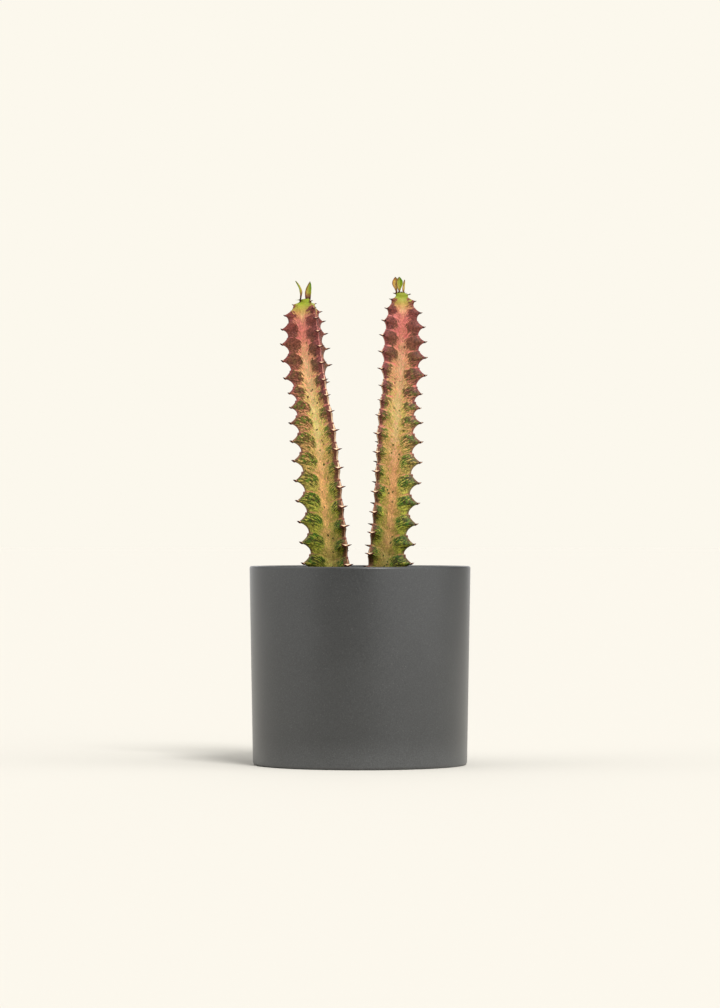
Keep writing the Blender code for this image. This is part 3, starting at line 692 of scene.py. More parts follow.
def makeSkin(stem, finish):
    rows, half = skinRows(), skin["columns"]
    turns = list(half) + [60.0] + [120.0 - d for d in reversed(half[1:])]
    sector = len(turns)
    columns = [(angle, degrees) for angle in range(3) for degrees in turns] + [(2, 120.0)]
    deselectAll()
    bpy.ops.mesh.primitive_grid_add(x_subdivisions=len(columns) - 1, y_subdivisions=len(rows) - 1, size=1.0)
    piece = bpy.context.object
    mesh = piece.data
    piece.name = mesh.name = stem["name"] + "Skin"
    spots = [(round((v.co.x + 0.5) * (len(columns) - 1)), round((v.co.y + 0.5) * (len(rows) - 1)))
             for v in mesh.vertices]
    draw = random.Random(stem["seed"])
    # each patch reaches in a little more or less, from above the tip to below the last tooth
    wobble = {(angle, side, number): draw.uniform(-skin["wobble"], skin["wobble"])
              for angle in range(3) for side in range(2) for number in range(-3, 24)}
    lowest = min(skinPoint(stem, angle, degrees, skin["teeth"] - 1 + skin["phases"][-1])[0].z
                 for angle, degrees in columns)
    # the places, then the distances round each row, then what the colours are drawn from
    made = {}
    for j, row in enumerate(rows):
        points = [rowPoint(stem, row, angle, degrees, lowest) for angle, degrees in columns]
        around = [0.0]
        for one, two in zip(points, points[1:]):
            around.append(around[-1] + (two[0] - one[0]).length / mm)
        place = row[1] if row[0] == "tooth" else skin["domePlace" if row[0] == "dome" else "buriedPlace"]
        for i, (angle, degrees) in enumerate(columns):
            point, down, pitch = points[i]
            middle = angle * sector + len(half)
            side = 1 if i <= middle else 0
            edge, nearest = (angle * sector, angle) if side else ((angle + 1) * sector, angle + 1)
            crest, width = abs(around[i] - around[edge]), abs(around[middle] - around[edge])
            share, flank = shareOf(degrees), (nearest % 3, side)
            fromTip = down / mm + skin["domeTop"] * stem["domeHeight"]
            patch, valley, phase = patchFields(stem, wobble, flank, share, place, pitch, width, fromTip)
            inward = share * skin["faceDepth"] * crestRadius(stem, down) / mm
            horn = skin["hornReach"]
            if share < skin["hornShare"]:
                horn = min(horn, (point - skinPoint(stem, nearest, 0.0, round(place))[0]).length / mm)
            made[(i, j)] = {
                "point": point, "down": fromTip, "share": share, "patch": patch, "valley": valley,
                "lower": phase, "crest": crest, "horn": horn, "flank": nearest * 2 + side, "inward": inward,
                "swept": down / mm - inward * (skin["sweep"] + skin["sweepCurl"] * inward),
                "band": easedThrough(stem["band"][flank[0]][side], place) - crest,
                "margin": easedThrough(stem["margin"][flank[0]][side], place),
            }
    # the grid is rolled up: its corners go to their places, and its map is in mm along each flank
    flat = []
    for spot in spots:
        point = made[spot]["point"]
        dimple = noise.noise(point / (skin["dimpleSize"] * mm)) * skin["dimple"] * mm
        away = point - coreAt(stem, made[spot]["down"] * mm)[0]
        away.z = 0.0
        dimple *= smoothStep(0.0, skin["dimpleFrom"] * mm, away.length)
        flat.extend(point + away.normalized() * dimple)
    mesh.vertices.foreach_set("co", flat)
    for name in skinFields:
        markVertices(piece, name, [made[spot][name] for spot in spots])
    flankMap = mesh.uv_layers[0]
    flankMap.name = "flankMap"
    for face in mesh.polygons:
        corners = sorted((made[spots[v]] for v in face.vertices), key=lambda corner: corner["share"])
        outer, inner = corners[0], corners[-1]
        flank = (inner if inner["share"] < 1.0 or outer["share"] == 0.0 else outer)["flank"]
        for loop in face.loop_indices:
            corner = made[spots[mesh.loops[loop].vertex_index]]
            flankMap.data[loop].uv = (corner["inward"], corner["swept"] + skin["flankGap"] * flank)
    editMode(piece)
    bpy.ops.mesh.select_all(action="SELECT")
    bpy.ops.mesh.remove_doubles(threshold=1e-6)
    turnOutwards()
    finishPiece(piece, stem["node"], finish, 75.0)


# Skin colours, in mm from the tip
skinColours = {
    "stripe": ((0, "#8c9423"), (3, "#a0a633"), (5.4, "#b5a949"), (7.6, "#d0ac60"), (10, "#e0b079"),
               (12, "#de9a74"), (14.5, "#d7836a"), (18, "#d07462"), (24, "#d27e64"), (30, "#d89a6d"),
               (38, "#e0a87a"), (50, "#e2b27a"), (60, "#dfb877"), (70, "#e3c47a"), (80, "#e3bf78"),
               (90, "#e2af70"), (102, "#e6a266"), (118, "#eba967"), (134, "#dfa461"), (146, "#caa256"),
               (156, "#ad9a4b"), (165, "#a08e4d")),
    "stripeEdge": ((0, "#869724"), (3, "#98a732"), (5.2, "#aa9d40"), (7.4, "#bb924e"), (10, "#c67e5b"),
                   (13.5, "#c97466"), (20, "#cb685f"), (28, "#d27760"), (38, "#dc9366"), (50, "#dfa86c"),
                   (60, "#dab265"), (72, "#d2b75a"), (85, "#cea355"), (100, "#c2994e"), (115, "#c09f49"),
                   (135, "#ae9741"), (165, "#958139")),
    "upper": ((0, "#838120"), (3, "#7a4c30"), (5, "#6d3a2e"), (8, "#663729"), (14, "#693928"),
              (20, "#663d2a"), (27, "#613f26"), (38, "#5c3e26"), (48, "#593f26"), (58, "#554323"),
              (68, "#554a1f"), (80, "#504c1c"), (96, "#4a4c17"), (115, "#37410c"), (140, "#323e08"),
              (165, "#2f3606")),
    "lower": ((0, "#81872a"), (3, "#8a5c3c"), (5, "#7c473a"), (8, "#7c453e"), (12, "#844748"),
              (22, "#844e43"), (32, "#8d533f"), (44, "#a55f4c"), (54, "#c67b60"), (64, "#d38e66"),
              (76, "#d09764"), (88, "#c69b5c"), (102, "#bba151"), (120, "#aca842"), (140, "#9a9736"),
              (165, "#848030")),
    "fringe": ((0, "#989927"), (8, "#734430"), (20, "#6a4c2c"), (34, "#685b2a"), (50, "#666524"),
               (66, "#606d1f"), (90, "#586e1d"), (130, "#4b6416"), (165, "#415514")),
    "vein": ((0, "#beb552"), (6, "#d8a070"), (12, "#d17a72"), (22, "#ce6c68"), (35, "#d57769"),
             (50, "#d87969"), (65, "#d77b6b"), (80, "#d57f6f"), (95, "#d38069"), (110, "#ca845e"),
             (130, "#ba7e52"), (165, "#926d3e")),
    "flush": ((0, "#957e38"), (3, "#86503a"), (5, "#7a3f34"), (12, "#7c403c"), (25, "#904943"),
              (40, "#924643"), (55, "#944f4b"), (75, "#865145"), (95, "#785b45"), (115, "#6f6a45"),
              (140, "#6f6e40"), (165, "#705835")),
    "band": ((0, "#9f7f3a"), (6, "#743c29"), (12, "#703a34"), (30, "#7a3f3c"), (50, "#723d3c"),
             (70, "#724039"), (90, "#724136"), (110, "#6e3f32"), (130, "#673e2e"), (165, "#5d3b29")),
    # the pale crest edge's colours: partly the skin's own, partly a painted highlight where they turn cream
    "margin": ((0, "#a89a50"), (8, "#b87868"), (20, "#c88078"), (44, "#d49484"), (52, "#ecc9a0"),
               (100, "#ecceaa"), (116, "#cc9a80"), (165, "#b08868")),
}
# Skin pattern: blotches, hairs, cracks, cells and pores, by their sizes in mm, then the marks, with
# the columns that addMarks reads
skinPattern = {
    "broad": 6.5, "middle": 2.6, "small": 1.0, "dashSize": (2.3, 0.62, 1.0),
    "worms": 1.3, "cells": 2.9, "cellsKept": 0.36, "pores": 0.32,
    # the horn round each thorn pair is dark maroon: partly its own brown, partly painted shade beneath the
    # thorns
    "colourLength": 165.0, "colourWander": 0.09, "hornAndShadeColour": "#4e2420",
    "patchSpread": {"middle": 5.0, "small": 2.6, "dash": 9.0}, "patchLess": 3.9,
    "livingTints": ((1.18, 0.88, 1.15, 1.0), (1.0, 1.75, 1.0, 1.0)),
    # even changes down the stem, and across the blotches
    "changes": {
        "softEdge": ("down", (6.0, 18.0), (1.6, 0.16)),
        "grown": ("down", (12.0, 30.0), (0.0, 1.0)),
        "fresh": ("down", (3.0, 14.0), (0.0, 1.0)),
        "aged": ("down", (25.0, 60.0), (0.0, 1.0)),
        "older": ("down", (25.0, 110.0), (-0.08, 0.02)),
        "ridgeGrown": ("down", (7.0, 11.0), (0.0, 1.0)),
        "veinGrown": ("down", (6.0, 11.0), (0.0, 1.0)),
        "paleGrown": ("down", (6.0, 12.0), (0.0, 1.0)),
        "wormDepth": ("down", (70.0, 140.0), (0.88, 0.68)),
        "worm": ("worms", (0.02, 0.3), ("wormDepth", 1.05)),
        "streak": ("dashes", (0.36, 0.62), (1.32, 0.66)),
        "mottle": ("small", (0.36, 0.64), (0.82, 1.2), {}, ("worm", "streak")),
        "shade": ("small", (0.34, 0.66), (0.52, 1.45)),
        "broken": ("broad", (0.40, 0.60), (0.25, 1.0)),
        "rough": ("middle", (0.3, 0.7), (0.44, 0.58)),
    },
    # marks with soft edges
    "marks": {
        "inPatch": ("edge", (-0.12, "softEdge"), (0.0, 1.0)),
        "border": ("share", (1.60, 1.14), (0.0, 1.0), {"middle": 1.4}),
        "rosy": ("small", (0.48, 0.62), (0.0, 0.6), {}, ("fresh",)),
        "fleck": ("cellDistance", (0.60, 0.50), (0.0, 1.0), {"small": 0.7}, ("chosen", "grown")),
        "half": ("lower", (0.35, 0.85), (0.0, 1.0)),
        "hair": ("dashes", (0.54, 0.63), (0.0, 1.0), {"half": 0.15, "older": 1.0}),
        "living": ("middle", (0.82, 0.94), (0.0, 1.0), {"small": 0.7}, ("aged",)),
        "inner": ("edge", (1.5, 0.2), (0.0, 0.8)),
        "flush": ("crest", (4.4, 2.2), (0.0, 0.85), {"middle": 3.6}),
        "ridge": ("band", (3.1, 3.5), (0.0, 0.9), {"middle": 6.5, "dash": 8.0}, ("ridgeGrown",)),
        "fromCrest": ("share", (0.8, 0.4), (0.0, 0.9)),
        "vein": ("valley", (1.60, 1.15), (0.0, 1.0), {"middle": 2.2}, ("fromCrest", "veinGrown", "broken")),
        # the pale crest edge, partly the skin's own paler edge and partly a painted highlight
        "paleAndSheen": ("margin", (-0.5, -0.1), (0.0, 0.95), {"small": -0.9, "crest": -1.0}, ("paleGrown",)),
        # the horn round each thorn pair, partly its own brown and partly painted shade beneath the thorns
        "shield": ("horn", (2.5, 1.6), (0.0, 0.9), {"small": 1.6}),
    },
}


def makeSkinFinish(stem):
    # living succulent skin under a thin natural wax: satin, a little light goes in, with fine pores
    finish, add = startMaterial("waxy succulent skin, " + stem["name"])
    place = add("TexCoord", out="Object")
    found = {name: add("Attribute", attribute_name=name, out="Fac") for name in skinFields}

    # three sizes of blotch, and hair-thin dashes that sweep in and down from each crest
    for name in ("broad", "middle", "small"):
        found[name] = add("TexNoise", {"Vector": place, "Scale": 1 / (skinPattern[name] * mm), "Detail": 2.0})
    flankPlace = add("UVMap", uv_map="flankMap")
    swept = add("Mapping", {"Vector": flankPlace, "Scale": skinPattern["dashSize"]}, vector_type="TEXTURE")
    dashes = found["dashes"] = add("TexNoise", {
        "Vector": swept, "Scale": 1.0, "Detail": 3.0, "Roughness": 0.62, "Distortion": 0.6,
    }, noise_dimensions="2D")
    found["dashAround"] = add("Math", {0: dashes, 1: 0.5}, operation="SUBTRACT")
    addMarks(add, found, {"dash": ("share", (0.97, 0.75), (0.0, 1.0), {}, ("dashAround",))}, "SMOOTHSTEP")

    # what the marks are measured by: the depth in a patch, made ragged, cracks, and scattered cells
    edge = found["patch"]
    for name, weight in skinPattern["patchSpread"].items():
        edge = add("Math", {0: found[name], 1: weight, 2: edge}, operation="MULTIPLY_ADD")
    found["edge"] = add("Math", {0: edge, 1: skinPattern["patchLess"]}, operation="SUBTRACT")
    found["worms"] = add("TexVoronoi", {
        "Vector": place, "Scale": 1 / (skinPattern["worms"] * mm)}, feature="DISTANCE_TO_EDGE")
    cells = add("TexVoronoi", {"Vector": place, "Scale": 1 / (skinPattern["cells"] * mm)}).node.outputs
    found["cellDistance"] = cells["Distance"]
    chance = add("SeparateColor", {0: cells["Color"]})
    found["chosen"] = add("Math", {0: chance, 1: skinPattern["cellsKept"]}, operation="GREATER_THAN")
    addMarks(add, found, skinPattern["changes"], "LINEAR")
    addMarks(add, found, skinPattern["marks"], "SMOOTHSTEP")

    # every colour by its distance from the tip, which wanders a little
    downShare = add("Math", {0: found["down"], 1: skinPattern["colourLength"]}, operation="DIVIDE")
    wander = add("Math", {0: found["broad"], 1: 0.5}, operation="SUBTRACT")
    wander = add("Math", {0: wander, 1: found["grown"]}, operation="MULTIPLY")
    wander = add("Math", {0: wander, 1: skinPattern["colourWander"], 2: downShare}, operation="MULTIPLY_ADD")
    colours = {name: add("ValToRGB", {"Fac": wander}, stops=stops) for name, stops in skinColours.items()}
    colours["horn"] = linearFrom(skinPattern["hornAndShadeColour"])

    def laid(under, *layers):      # lays colours over one another, each where its mark is
        for mark, colour in layers:
            under = add("Mix", {0: found[mark], 6: under, 7: colours[colour]}, out=2, data_type="RGBA")
        return under

    # the stripe down the middle of a face, greener or rosier at its borders, finely mottled
    mottle = add("Math", {0: found["mottle"], 1: 1.0}, operation="SUBTRACT")
    mottle = add("Math", {0: mottle, 1: found["fresh"], 2: 1.0}, operation="MULTIPLY_ADD")
    colour = laid(colours["stripe"], ("border", "stripeEdge"), ("rosy", "vein"))
    colour = add("VectorMath", {0: colour, "Scale": mottle}, operation="SCALE")
    # the stripe scaled lighter or darker per stem: partly its own tone, partly painted light evening out the
    # key light
    stemToneAndPaintedLight = add("Mix", {0: found["grown"], 6: (*stem["tipToneAndPaintedLight"], 1.0), 7: (*stem["stemToneAndPaintedLight"], 1.0)},
                   out=2, data_type="RGBA")
    colour = add("VectorMath", {0: colour, 1: stemToneAndPaintedLight}, operation="MULTIPLY")
    colour = laid(colour, ("fleck", "upper"))

    # the patches: dark, with light hairs that thicken down the stem and in each tooth's lower half
    rosyTint, greenTint = skinPattern["livingTints"]
    living = add("Mix", {0: found["living"], 6: rosyTint, 7: greenTint}, out=2, data_type="RGBA")
    patch = add("VectorMath", {0: colours["upper"], 1: living}, operation="MULTIPLY")
    patch = laid(patch, ("hair", "lower"), ("inner", "fringe"), ("flush", "flush"), ("ridge", "band"))
    # the patches scaled per stem the same way: partly its own tone, partly painted light
    shade = add("Math", {0: found["shade"], 1: stem["patchToneAndPaintedLight"]}, operation="MULTIPLY")
    colours["patch"] = add("VectorMath", {0: patch, "Scale": shade}, operation="SCALE")
    found["covered"] = add("Math", {0: found["inPatch"], 1: found["ridge"]}, operation="MAXIMUM")

    # over them thin rosy veins that run in from the valleys, the crest's pale edge along a ridge, partly its
    # own paler skin and partly a painted highlight, and the brown horn round each thorn pair, partly its own
    # brown and partly painted shade under the thorns
    colour = laid(colour, ("covered", "patch"), ("vein", "vein"), ("paleAndSheen", "margin"), ("shield", "horn"))

    pores = add("TexNoise", {"Vector": place, "Scale": 1 / (skinPattern["pores"] * mm), "Detail": 2.0})
    relief = add("Math", {0: found["inPatch"], 1: 0.8, 2: pores}, operation="MULTIPLY_ADD")
    relief = add("Math", {0: found["small"], 1: 1.2, 2: relief}, operation="MULTIPLY_ADD")
    bump = add("Bump", {"Strength": 0.6, "Distance": 0.10 * mm, "Height": relief})
    shader = add("BsdfPrincipled", {
        "Base Color": colour, "Roughness": found["rough"], "IOR": 1.4, "Specular IOR Level": 0.3,
        "Normal": bump, "Subsurface Weight": 0.05, "Subsurface Radius": (1.0, 0.6, 0.3),
        "Subsurface Scale": 0.6 * mm,
    }, subsurface_method="RANDOM_WALK")
    add("OutputMaterial", {"Surface": shader})
    return finish


# Thorns: a splayed pair on each tooth's point
thorn = {
    "firstCount": -0.2, "shortest": 1.5, "splay": 62.0, "leastToothed": 0.6, "lift": 6.0, "inset": 0.6,
    "youngDarker": 0.4, "youngThicker": 0.25, "youngTeeth": 5.0, "turnShare": 1.4, "sag": 0.10,
    "sides": 8, "rings": ((0.0, 0.19), (0.1, 0.2), (0.28, 0.18), (0.5, 0.135), (0.75, 0.08), (0.92, 0.038),
                          (1.0, 0.01)),
    "shieldSize": (0.16, 0.17, 0.12), "shieldSides": 10, "shieldRings": 6,
    # the short spines beside each leaf's foot
    "stipuleScale": 2.1, "stipuleDarker": 0.34, "stipuleLift": -66.0, "stipuleNarrow": 0.45,
    "stipuleSpread": 0.75,
    # the horn's colours from its foot to its point, and how much further they reach on the upper side: partly
    # painted light on top and painted shade beneath
    "tipward": 0.75, "topLitAndPale": 2.4,
    "horn": ((0.0, "#f4dfbe"), (0.14, "#e8c296"), (0.26, "#9c5638"), (0.4, "#5c231d"), (0.7, "#3a1614"),
             (1.0, "#1e1311")),
}


def makeThornPair():
    # one thorn is a circle extruded upwards and narrowed ring by ring; its twin splays the other way
    halves = []
    for side in (1, -1):
        deselectAll()
        bpy.ops.mesh.primitive_circle_add(
            vertices=thorn["sides"], radius=thorn["rings"][0][1], fill_type="NGON")
        piece = bpy.context.object
        editMode(piece)
        bpy.ops.mesh.select_all(action="SELECT")
        for (low, wide), (high, narrow) in zip(thorn["rings"], thorn["rings"][1:]):
            bpy.ops.mesh.extrude_region_move(TRANSFORM_OT_translate={"value": (0, 0, high - low)})
            bpy.ops.transform.resize(value=(narrow / wide, narrow / wide, 1))
        turnOutwards()
        # the upper side stays pale for longer, partly as painted light, with painted shade beneath: X points
        # down until the thorn is laid flat
        markVertices(piece, "tipward", [thorn["tipward"] * v.co.z + thorn["topLitAndPale"] * v.co.x
                                        for v in piece.data.vertices])
        for vert in piece.data.vertices:           # a thorn curves slightly down to its point
            vert.co.x -= thorn["sag"] * vert.co.z ** 2
        upright = Matrix.Rotation(math.radians(90), 4, "Y")
        splay = Matrix.Rotation(math.radians(side * thorn["splay"]), 4, "Z")
        lift = Matrix.Rotation(math.radians(-thorn["lift"]), 4, "Y")
        piece.data.transform(splay @ lift @ upright)
        halves.append(piece)
    deselectAll()
    bpy.ops.mesh.primitive_uv_sphere_add(
        segments=thorn["shieldSides"], ring_count=thorn["shieldRings"], radius=1.0)
    shield = bpy.context.object
    shield.scale = thorn["shieldSize"]
    bpy.ops.object.transform_apply(scale=True)
    markVertices(shield, "tipward", [0.0] * len(shield.data.vertices))
    return joinAll("thornPair", halves + [shield])


def addPair(copies, pair, matrix, darker):         # one more pair, its gradient moved towards the dark tip
    copies.append(copyOf(pair, matrix))
    for spot in copies[-1].data.attributes["tipward"].data:
        spot.value += darker


def makeThorns(stem, pair, finish):
    copies = []
    for angle in range(3):
        for number in range(skin["teeth"]):
            count = toothCount(stem, angle, number)
            down = downAt(stem, count)
            if count < thorn["firstCount"] or toothedAt(stem, down) < thorn["leastToothed"]:
                continue
            length = max(thorn["shortest"] * mm, stem["thornShare"] * pitchAt(stem, count))
            point = skinPoint(stem, angle, 0.0, number)[0]
            outward = point - coreAt(stem, down)[0]
            outward.z = 0.0
            turn = math.atan2(outward.y, outward.x)
            turn += math.radians(thorn["turnShare"] * easedThrough(stem["tilt"][angle], down / mm))
            foot = Matrix.Translation(point - outward.normalized() * thorn["inset"] * mm)
            young = math.exp(-max(count, 0.0) / thorn["youngTeeth"])
            size = Matrix.Diagonal((length, length, length * (1.0 + thorn["youngThicker"] * young), 1.0))
            addPair(copies, pair, foot @ Matrix.Rotation(turn, 4, "Z") @ size, thorn["youngDarker"] * young)
    long = thorn["stipuleScale"] * mm
    lift = Matrix.Rotation(math.radians(thorn["stipuleLift"]), 4, "Y")
    size = Matrix.Diagonal((long, long * thorn["stipuleNarrow"], long, 1.0))
    for leaf in stem["leaves"]:                    # short dark spines on both sides of each leaf's foot
        foot = coreAt(stem, 0.0)[0] + Vector((leaf["foot"][0], leaf["foot"][1], leaf["spines"])) * mm
        for side in (1, -1):
            turn = Matrix.Rotation(math.radians(leaf["faces"]) + side * math.pi / 2, 4, "Z")
            place = Matrix.Translation(foot + turn @ Vector((thorn["stipuleSpread"] * mm, 0.0, 0.0)))
            addPair(copies, pair, place @ turn @ lift @ size, thorn["stipuleDarker"])
    finishPiece(joinAll(stem["name"] + "Thorns", copies), stem["node"], finish, 50.0)


def makeHorn():
    # dead horny tissue, dry and smooth: cream where it joins the skin, red-brown, then almost black points;
    # paler further out on top, partly painted light, and darker beneath, partly painted shade
    finish, add = startMaterial("dry horny spine")
    place = add("TexCoord", out="Object")
    tipward = add("Attribute", attribute_name="tipward", out="Fac")
    grain = add("TexNoise", {"Vector": place, "Scale": 1 / (0.9 * mm), "Detail": 2.0})     # 0.9 mm, faint
    tipward = add("Math", {0: grain, 1: 0.3, 2: tipward}, operation="MULTIPLY_ADD")
    tipward = add("Math", {0: tipward, 1: 0.12}, operation="SUBTRACT")
    colour = add("ValToRGB", {"Fac": tipward}, stops=thorn["horn"])
    shader = add("BsdfPrincipled", {
        "Base Color": colour, "Roughness": 0.5, "IOR": 1.54, "Specular IOR Level": 0.25})
    add("OutputMaterial", {"Surface": shader})
    return finish


# Bud eyes: a small red-brown knob in the valley above each tooth, smaller on the young teeth
bud = {
    "phase": 0.62, "size": (0.5, 0.62, 0.85), "segments": 10, "rings": 7, "pointed": 0.25,
    "youngSize": 0.35, "grownFrom": 2, "grownAt": 11,
    "scales": ((0.3, "#4f2a27"), (0.5, "#7c4238"), (0.7, "#b0695a"), (1.0, "#c98676")),
}


def makeBuds(stem, finish):
    deselectAll()
    bpy.ops.mesh.primitive_uv_sphere_add(segments=bud["segments"], ring_count=bud["rings"], radius=1.0)
    knob = bpy.context.object
    knob.name = "bud"
    for vert in knob.data.vertices:                # pointed a little upwards
        vert.co.x *= 1.0 - bud["pointed"] * vert.co.z
    copies = []
    for angle in range(3):
        for number in range(skin["teeth"]):
            point, down = skinPoint(stem, angle, 0.0, number - 1 + bud["phase"])[:2]
            if toothedAt(stem, down) < thorn["leastToothed"]:
                continue
            outward = point - coreAt(stem, down)[0]
            grown = smoothStep(bud["grownFrom"], bud["grownAt"], number)
            size = [s * mm * (bud["youngSize"] + (1.0 - bud["youngSize"]) * grown) for s in bud["size"]]
            turn = Matrix.Rotation(math.atan2(outward.y, outward.x), 4, "Z")
            copies.append(copyOf(knob, Matrix.Translation(point) @ turn @ Matrix.Diagonal((*size, 1.0))))
    bpy.data.objects.remove(knob, do_unlink=True)
    finishPiece(joinAll(stem["name"] + "Buds", copies), stem["node"], finish, 60.0)


def makeBudFinish():
    # dormant bud scales, dull and dry
    finish, add = startMaterial("dormant bud scale")
    place = add("TexCoord", out="Object")
    grain = add("TexNoise", {"Vector": place, "Scale": 1 / (0.5 * mm), "Detail": 3.0})     # scales of 0.5 mm
    colour = add("ValToRGB", {"Fac": grain}, stops=bud["scales"])
    shader = add("BsdfPrincipled", {"Base Color": colour, "Roughness": 0.6, "IOR": 1.45})
    add("OutputMaterial", {"Surface": shader})
    return finish


# Leaves: a blade folded along its midrib, with or without a stalk
leafShape = {
    "fold": 0.24, "foldPower": 1.3, "thickness": 0.42, "leastHalf": 0.30, "tipHalf": 0.09, "tipFrom": 0.9,
    "across": 10, "along": 36, "ripple": 0.04, "ripples": 5.0,
    # widths up the leaf, as shares of the widest
    "outlines": {
        "broad": ((0, 0.62), (0.12, 0.72), (0.3, 0.92), (0.5, 1.0), (0.7, 0.86), (0.86, 0.52), (1, 0.05)),
        "stalked": ((0, 0.2), (0.32, 0.22), (0.44, 0.42), (0.55, 0.76), (0.67, 1.0), (0.8, 0.92), (0.92, 0.5),
                    (1, 0.05)),
        "narrow": ((0, 0.3), (0.2, 0.4), (0.5, 0.9), (0.75, 0.8), (0.92, 0.4), (1, 0.08)),
    },
    # colours from foot to tip, of a green leaf and a ripening one, and of its midrib and its edge
    "green": ((0.0, "#33100f"), (0.27, "#45180f"), (0.37, "#76501c"), (0.47, "#86861f"), (0.64, "#748614"),
              (0.8, "#5f8004"), (1.0, "#4c6604")),
    "warm": ((0.0, "#33100f"), (0.30, "#561c12"), (0.42, "#b0744a"), (0.53, "#deae62"), (0.78, "#d0a44c"),
             (0.92, "#a4552e"), (1.0, "#6d2c1c")),
    "midrib": "#d8b872", "edge": "#622a18",
    "marks": {
        "rib": ("fromRib", (0.22, 0.05), (0.0, 0.25)),
        # the rim is darker on one side of the blade: partly its own colour, partly painted shade
        "rim": ("fromRib", (0.75, 1.2), (0.0, 0.8), {"across": -0.35}),
    },
}


def throughPoints(points, at):     # straight from point to point
    for (low, start), (high, end) in zip(points, points[1:]):
        if at <= high:
            return start + (end - start) * (at - low) / (high - low)
    return points[-1][1]


def makeLeaf(stem, plan, number):
    foot = coreAt(stem, 0.0)[0] + Vector(plan["foot"]) * mm
    facing = math.radians(plan["faces"])
    front = Vector((math.cos(facing), math.sin(facing), 0.0))
    side = Vector((-front.y, front.x, 0.0))
    lean = Vector((*plan["lean"], 0.0)) * mm
    deselectAll()
    bpy.ops.mesh.primitive_grid_add(
        x_subdivisions=leafShape["across"], y_subdivisions=leafShape["along"], size=1.0)
    piece = bpy.context.object
    piece.name = "%sLeaf%d" % (stem["name"], number)
    across = [2.0 * v.co.x for v in piece.data.vertices]
    along = [v.co.y + 0.5 for v in piece.data.vertices]
    for vert, u, share in zip(piece.data.vertices, across, along):
        bow = plan["bow"] * mm * math.sin(math.pi * share) ** 2
        middle = foot + lean * share ** plan["curl"] + lean.normalized() * bow
        middle.z += plan["rise"] * mm * share
        wide = throughPoints(leafShape["outlines"][plan["outline"]], share)
        least = leafShape["tipHalf" if share > leafShape["tipFrom"] else "leastHalf"]
        half = max(0.5 * plan["width"] * wide, least) * mm
        ripple = leafShape["ripple"] * half * math.sin(leafShape["ripples"] * math.pi * share) * u
        folded = leafShape["fold"] * half * abs(u) ** leafShape["foldPower"]
        vert.co = middle + side * half * u + front * (folded + ripple)
    markVertices(piece, "across", across)
    markVertices(piece, "along", along)
    markVertices(piece, "ripe", [plan["ripe"]] * len(across))
    walls = piece.modifiers.new("walls", "SOLIDIFY")
    walls.thickness, walls.offset = leafShape["thickness"] * mm, 0.0
    bpy.ops.object.modifier_apply(modifier=walls.name)
    editMode(piece)
    turnOutwards()
    return piece


def makeLeaves(stem, finish):
    leaves = [makeLeaf(stem, plan, number) for number, plan in enumerate(stem["leaves"])]
    finishPiece(joinAll(stem["name"] + "Leaves", leaves), stem["node"], finish, 60.0)


def makeLeafFinish():
    # thin fleshy leaf: glossier than the stem, light comes through it, reddened edges and stalk; one half of
    # each blade warmer with a darker rim, partly its own colour and partly painted light and shade
    finish, add = startMaterial("young succulent leaf")
    place = add("TexCoord", out="Object")
    found = {name: add("Attribute", attribute_name=name, out="Fac") for name in ("across", "along", "ripe")}
    grain = add("TexNoise", {"Vector": place, "Scale": 1 / (1.1 * mm), "Detail": 3.0})     # blotches of 1.1 mm
    up = add("Math", {0: grain, 1: 0.3, 2: found["along"]}, operation="MULTIPLY_ADD")
    up = add("Math", {0: up, 1: 0.15}, operation="SUBTRACT")
    green, warm = [add("ValToRGB", {"Fac": up}, stops=leafShape[name]) for name in ("green", "warm")]
    # warmer towards one edge of the blade: partly its own colour, partly painted light and shade across the
    # fold
    ripe = add("Math", {0: grain, 1: 0.4, 2: found["ripe"]}, operation="MULTIPLY_ADD")
    ripe = add("Math", {0: found["across"], 1: -0.45, 2: ripe}, operation="MULTIPLY_ADD")
    ripe = add("Math", {0: ripe, 1: 0.2}, operation="SUBTRACT", use_clamp=True)
    colour = add("Mix", {0: ripe, 6: green, 7: warm}, out=2, data_type="RGBA")
    found["fromRib"] = add("Math", {0: found["across"]}, operation="ABSOLUTE")
    addMarks(add, found, leafShape["marks"], "SMOOTHSTEP")
    for mark, tint in (("rib", "midrib"), ("rim", "edge")):
        tint = linearFrom(leafShape[tint])
        colour = add("Mix", {0: found[mark], 6: colour, 7: tint}, out=2, data_type="RGBA")
    shader = add("BsdfPrincipled", {
        "Base Color": colour, "Roughness": 0.42, "IOR": 1.4, "Specular IOR Level": 0.35,
        "Subsurface Weight": 0.15, "Subsurface Radius": (0.6, 0.8, 0.2), "Subsurface Scale": 0.5 * mm})
    add("OutputMaterial", {"Surface": shader})
    return finish


for stem in stems:
    growStem(stem)
makeSoil()
hornFinish, budFinish, leafFinish = makeHorn(), makeBudFinish(), makeLeafFinish()
thornPair = makeThornPair()
for stem in stems:
    makeSkin(stem, makeSkinFinish(stem))
    makeThorns(stem, thornPair, hornFinish)
    makeBuds(stem, budFinish)
    makeLeaves(stem, leafFinish)
bpy.data.objects.remove(thornPair, do_unlink=True)


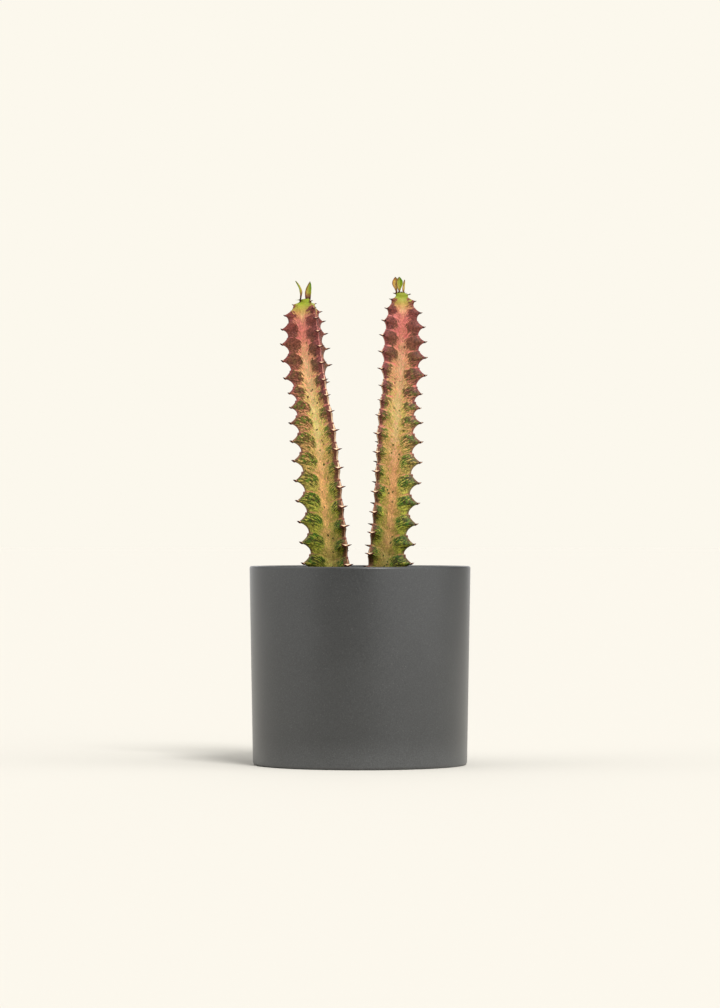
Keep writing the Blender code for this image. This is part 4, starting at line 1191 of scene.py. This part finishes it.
# Studio: a pale floor that runs out of sight, a high key light from the right, and soft light all round
studio = {
    "floorSize": 60.0, "floorColour": (0.700, 0.672, 0.607), "backdrop": "#fcf8ed",
    "keyPower": 2.1, "keyAzimuth": 24.0, "keyElevation": 50.0, "keyAngle": 18.0, "keyDistance": 2.0,
    # brightness round the horizon, in degrees from the camera's side, to the right
    "around": ((0, 0.0), (8, 0.03), (24, 0.85), (45, 1.0), (85, 0.95), (105, 0.36), (130, 0.18), (145, 0.16),
               (156, 0.5), (170, 1.0), (192, 1.0), (205, 0.65), (228, 0.46), (250, 0.6), (275, 0.7),
               (304, 0.7), (318, 0.25),
               (328, 0.02), (360, 0.0)),
    # the room behind the plant is bright near the floor only, and the ceiling is bright all over
    "aroundLevel": 1.75, "overhead": 1.0, "marks": {
        "behind": ("Y", (0.0, 0.6), (0.0, 1.0)),
        "dimmed": ("Z", (0.10, 0.32), (0.0, 0.55), {}, ("behind",)),
        "high": ("Z", (0.55, 0.95), (0.0, 1.0)),
    },
    "cameraPlace": (0, -2.4137, 0.134), "cameraAim": (0, 0, 0.1496), "lens": 150.0, "sensor": 36.0,
}


def makeFloor():
    deselectAll()
    bpy.ops.mesh.primitive_plane_add(size=studio["floorSize"])
    floor = bpy.context.object
    floor.name = "studioFloor"
    finish, add = startMaterial("matte backdrop paper")
    shader = add("BsdfDiffuse", {"Color": (*studio["floorColour"], 1.0)})
    add("OutputMaterial", {"Surface": shader})
    floor.data.materials.append(finish)


def makeKey():
    azimuth, elevation = math.radians(studio["keyAzimuth"]), math.radians(studio["keyElevation"])
    level, high = math.cos(elevation), math.sin(elevation)
    towards = Vector((math.sin(azimuth) * level, -math.cos(azimuth) * level, high))
    deselectAll()
    bpy.ops.object.light_add(type="SUN", location=towards * studio["keyDistance"],
                             rotation=towards.to_track_quat("Z", "Y").to_euler())
    key = bpy.context.object
    key.name = "keyLight"
    key.data.energy, key.data.angle = studio["keyPower"], math.radians(studio["keyAngle"])


def makeRoom():
    # a dim front behind the camera, bright diffusers at both sides and overhead
    world = bpy.data.worlds.new("softStudio")
    bpy.context.scene.world = world
    world.use_nodes = True
    world.node_tree.nodes.clear()
    add = functools.partial(addNode, world.node_tree)
    parts = add("SeparateXYZ", {0: add("TexCoord", out="Generated")}).node.outputs
    front = add("Math", {0: parts["Y"], 1: -1.0}, operation="MULTIPLY")
    turn = add("Math", {0: parts["X"], 1: front}, operation="ARCTAN2")
    turn = add("Math", {0: turn, 1: 2.0 * math.pi}, operation="DIVIDE")
    turn = add("Math", {0: turn}, operation="FRACT")
    stops = [(at, "#%02x%02x%02x" % ((round(255 * min(1.0, level) ** (1 / 2.2)),) * 3))
             for at, level in studio["around"]]
    around = add("ValToRGB", {"Fac": turn}, stops=stops)
    around = add("VectorMath", {0: around, "Scale": studio["aroundLevel"]}, operation="SCALE")
    found = {"Y": parts["Y"], "Z": parts["Z"]}
    addMarks(add, found, studio["marks"], "SMOOTHSTEP")
    kept = add("Math", {0: 1.0, 1: found["dimmed"]}, operation="SUBTRACT")
    around = add("VectorMath", {0: around, "Scale": kept}, operation="SCALE")
    overhead = (studio["overhead"],) * 3 + (1.0,)
    room = add("Mix", {0: found["high"], 6: around, 7: overhead}, out=2, data_type="RGBA")
    seen = add("LightPath", out="Is Camera Ray")
    shown = add("Mix", {0: seen, 6: room, 7: linearFrom(studio["backdrop"])}, out=2, data_type="RGBA")
    add("OutputWorld", {"Surface": add("Background", {"Color": shown})})


def makeCamera():
    place, aim = Vector(studio["cameraPlace"]), Vector(studio["cameraAim"])
    bpy.ops.object.camera_add(location=place, rotation=(aim - place).to_track_quat("-Z", "Y").to_euler())
    camera = bpy.context.object
    camera.name = "photoCamera"
    camera.data.sensor_fit, camera.data.sensor_height = "VERTICAL", studio["sensor"]
    camera.data.lens = studio["lens"]
    bpy.context.scene.camera = camera


makeFloor()
makeKey()
makeRoom()
makeCamera()
bpy.context.scene.view_settings.view_transform = "Standard"
deselectAll()
print("studio ready")
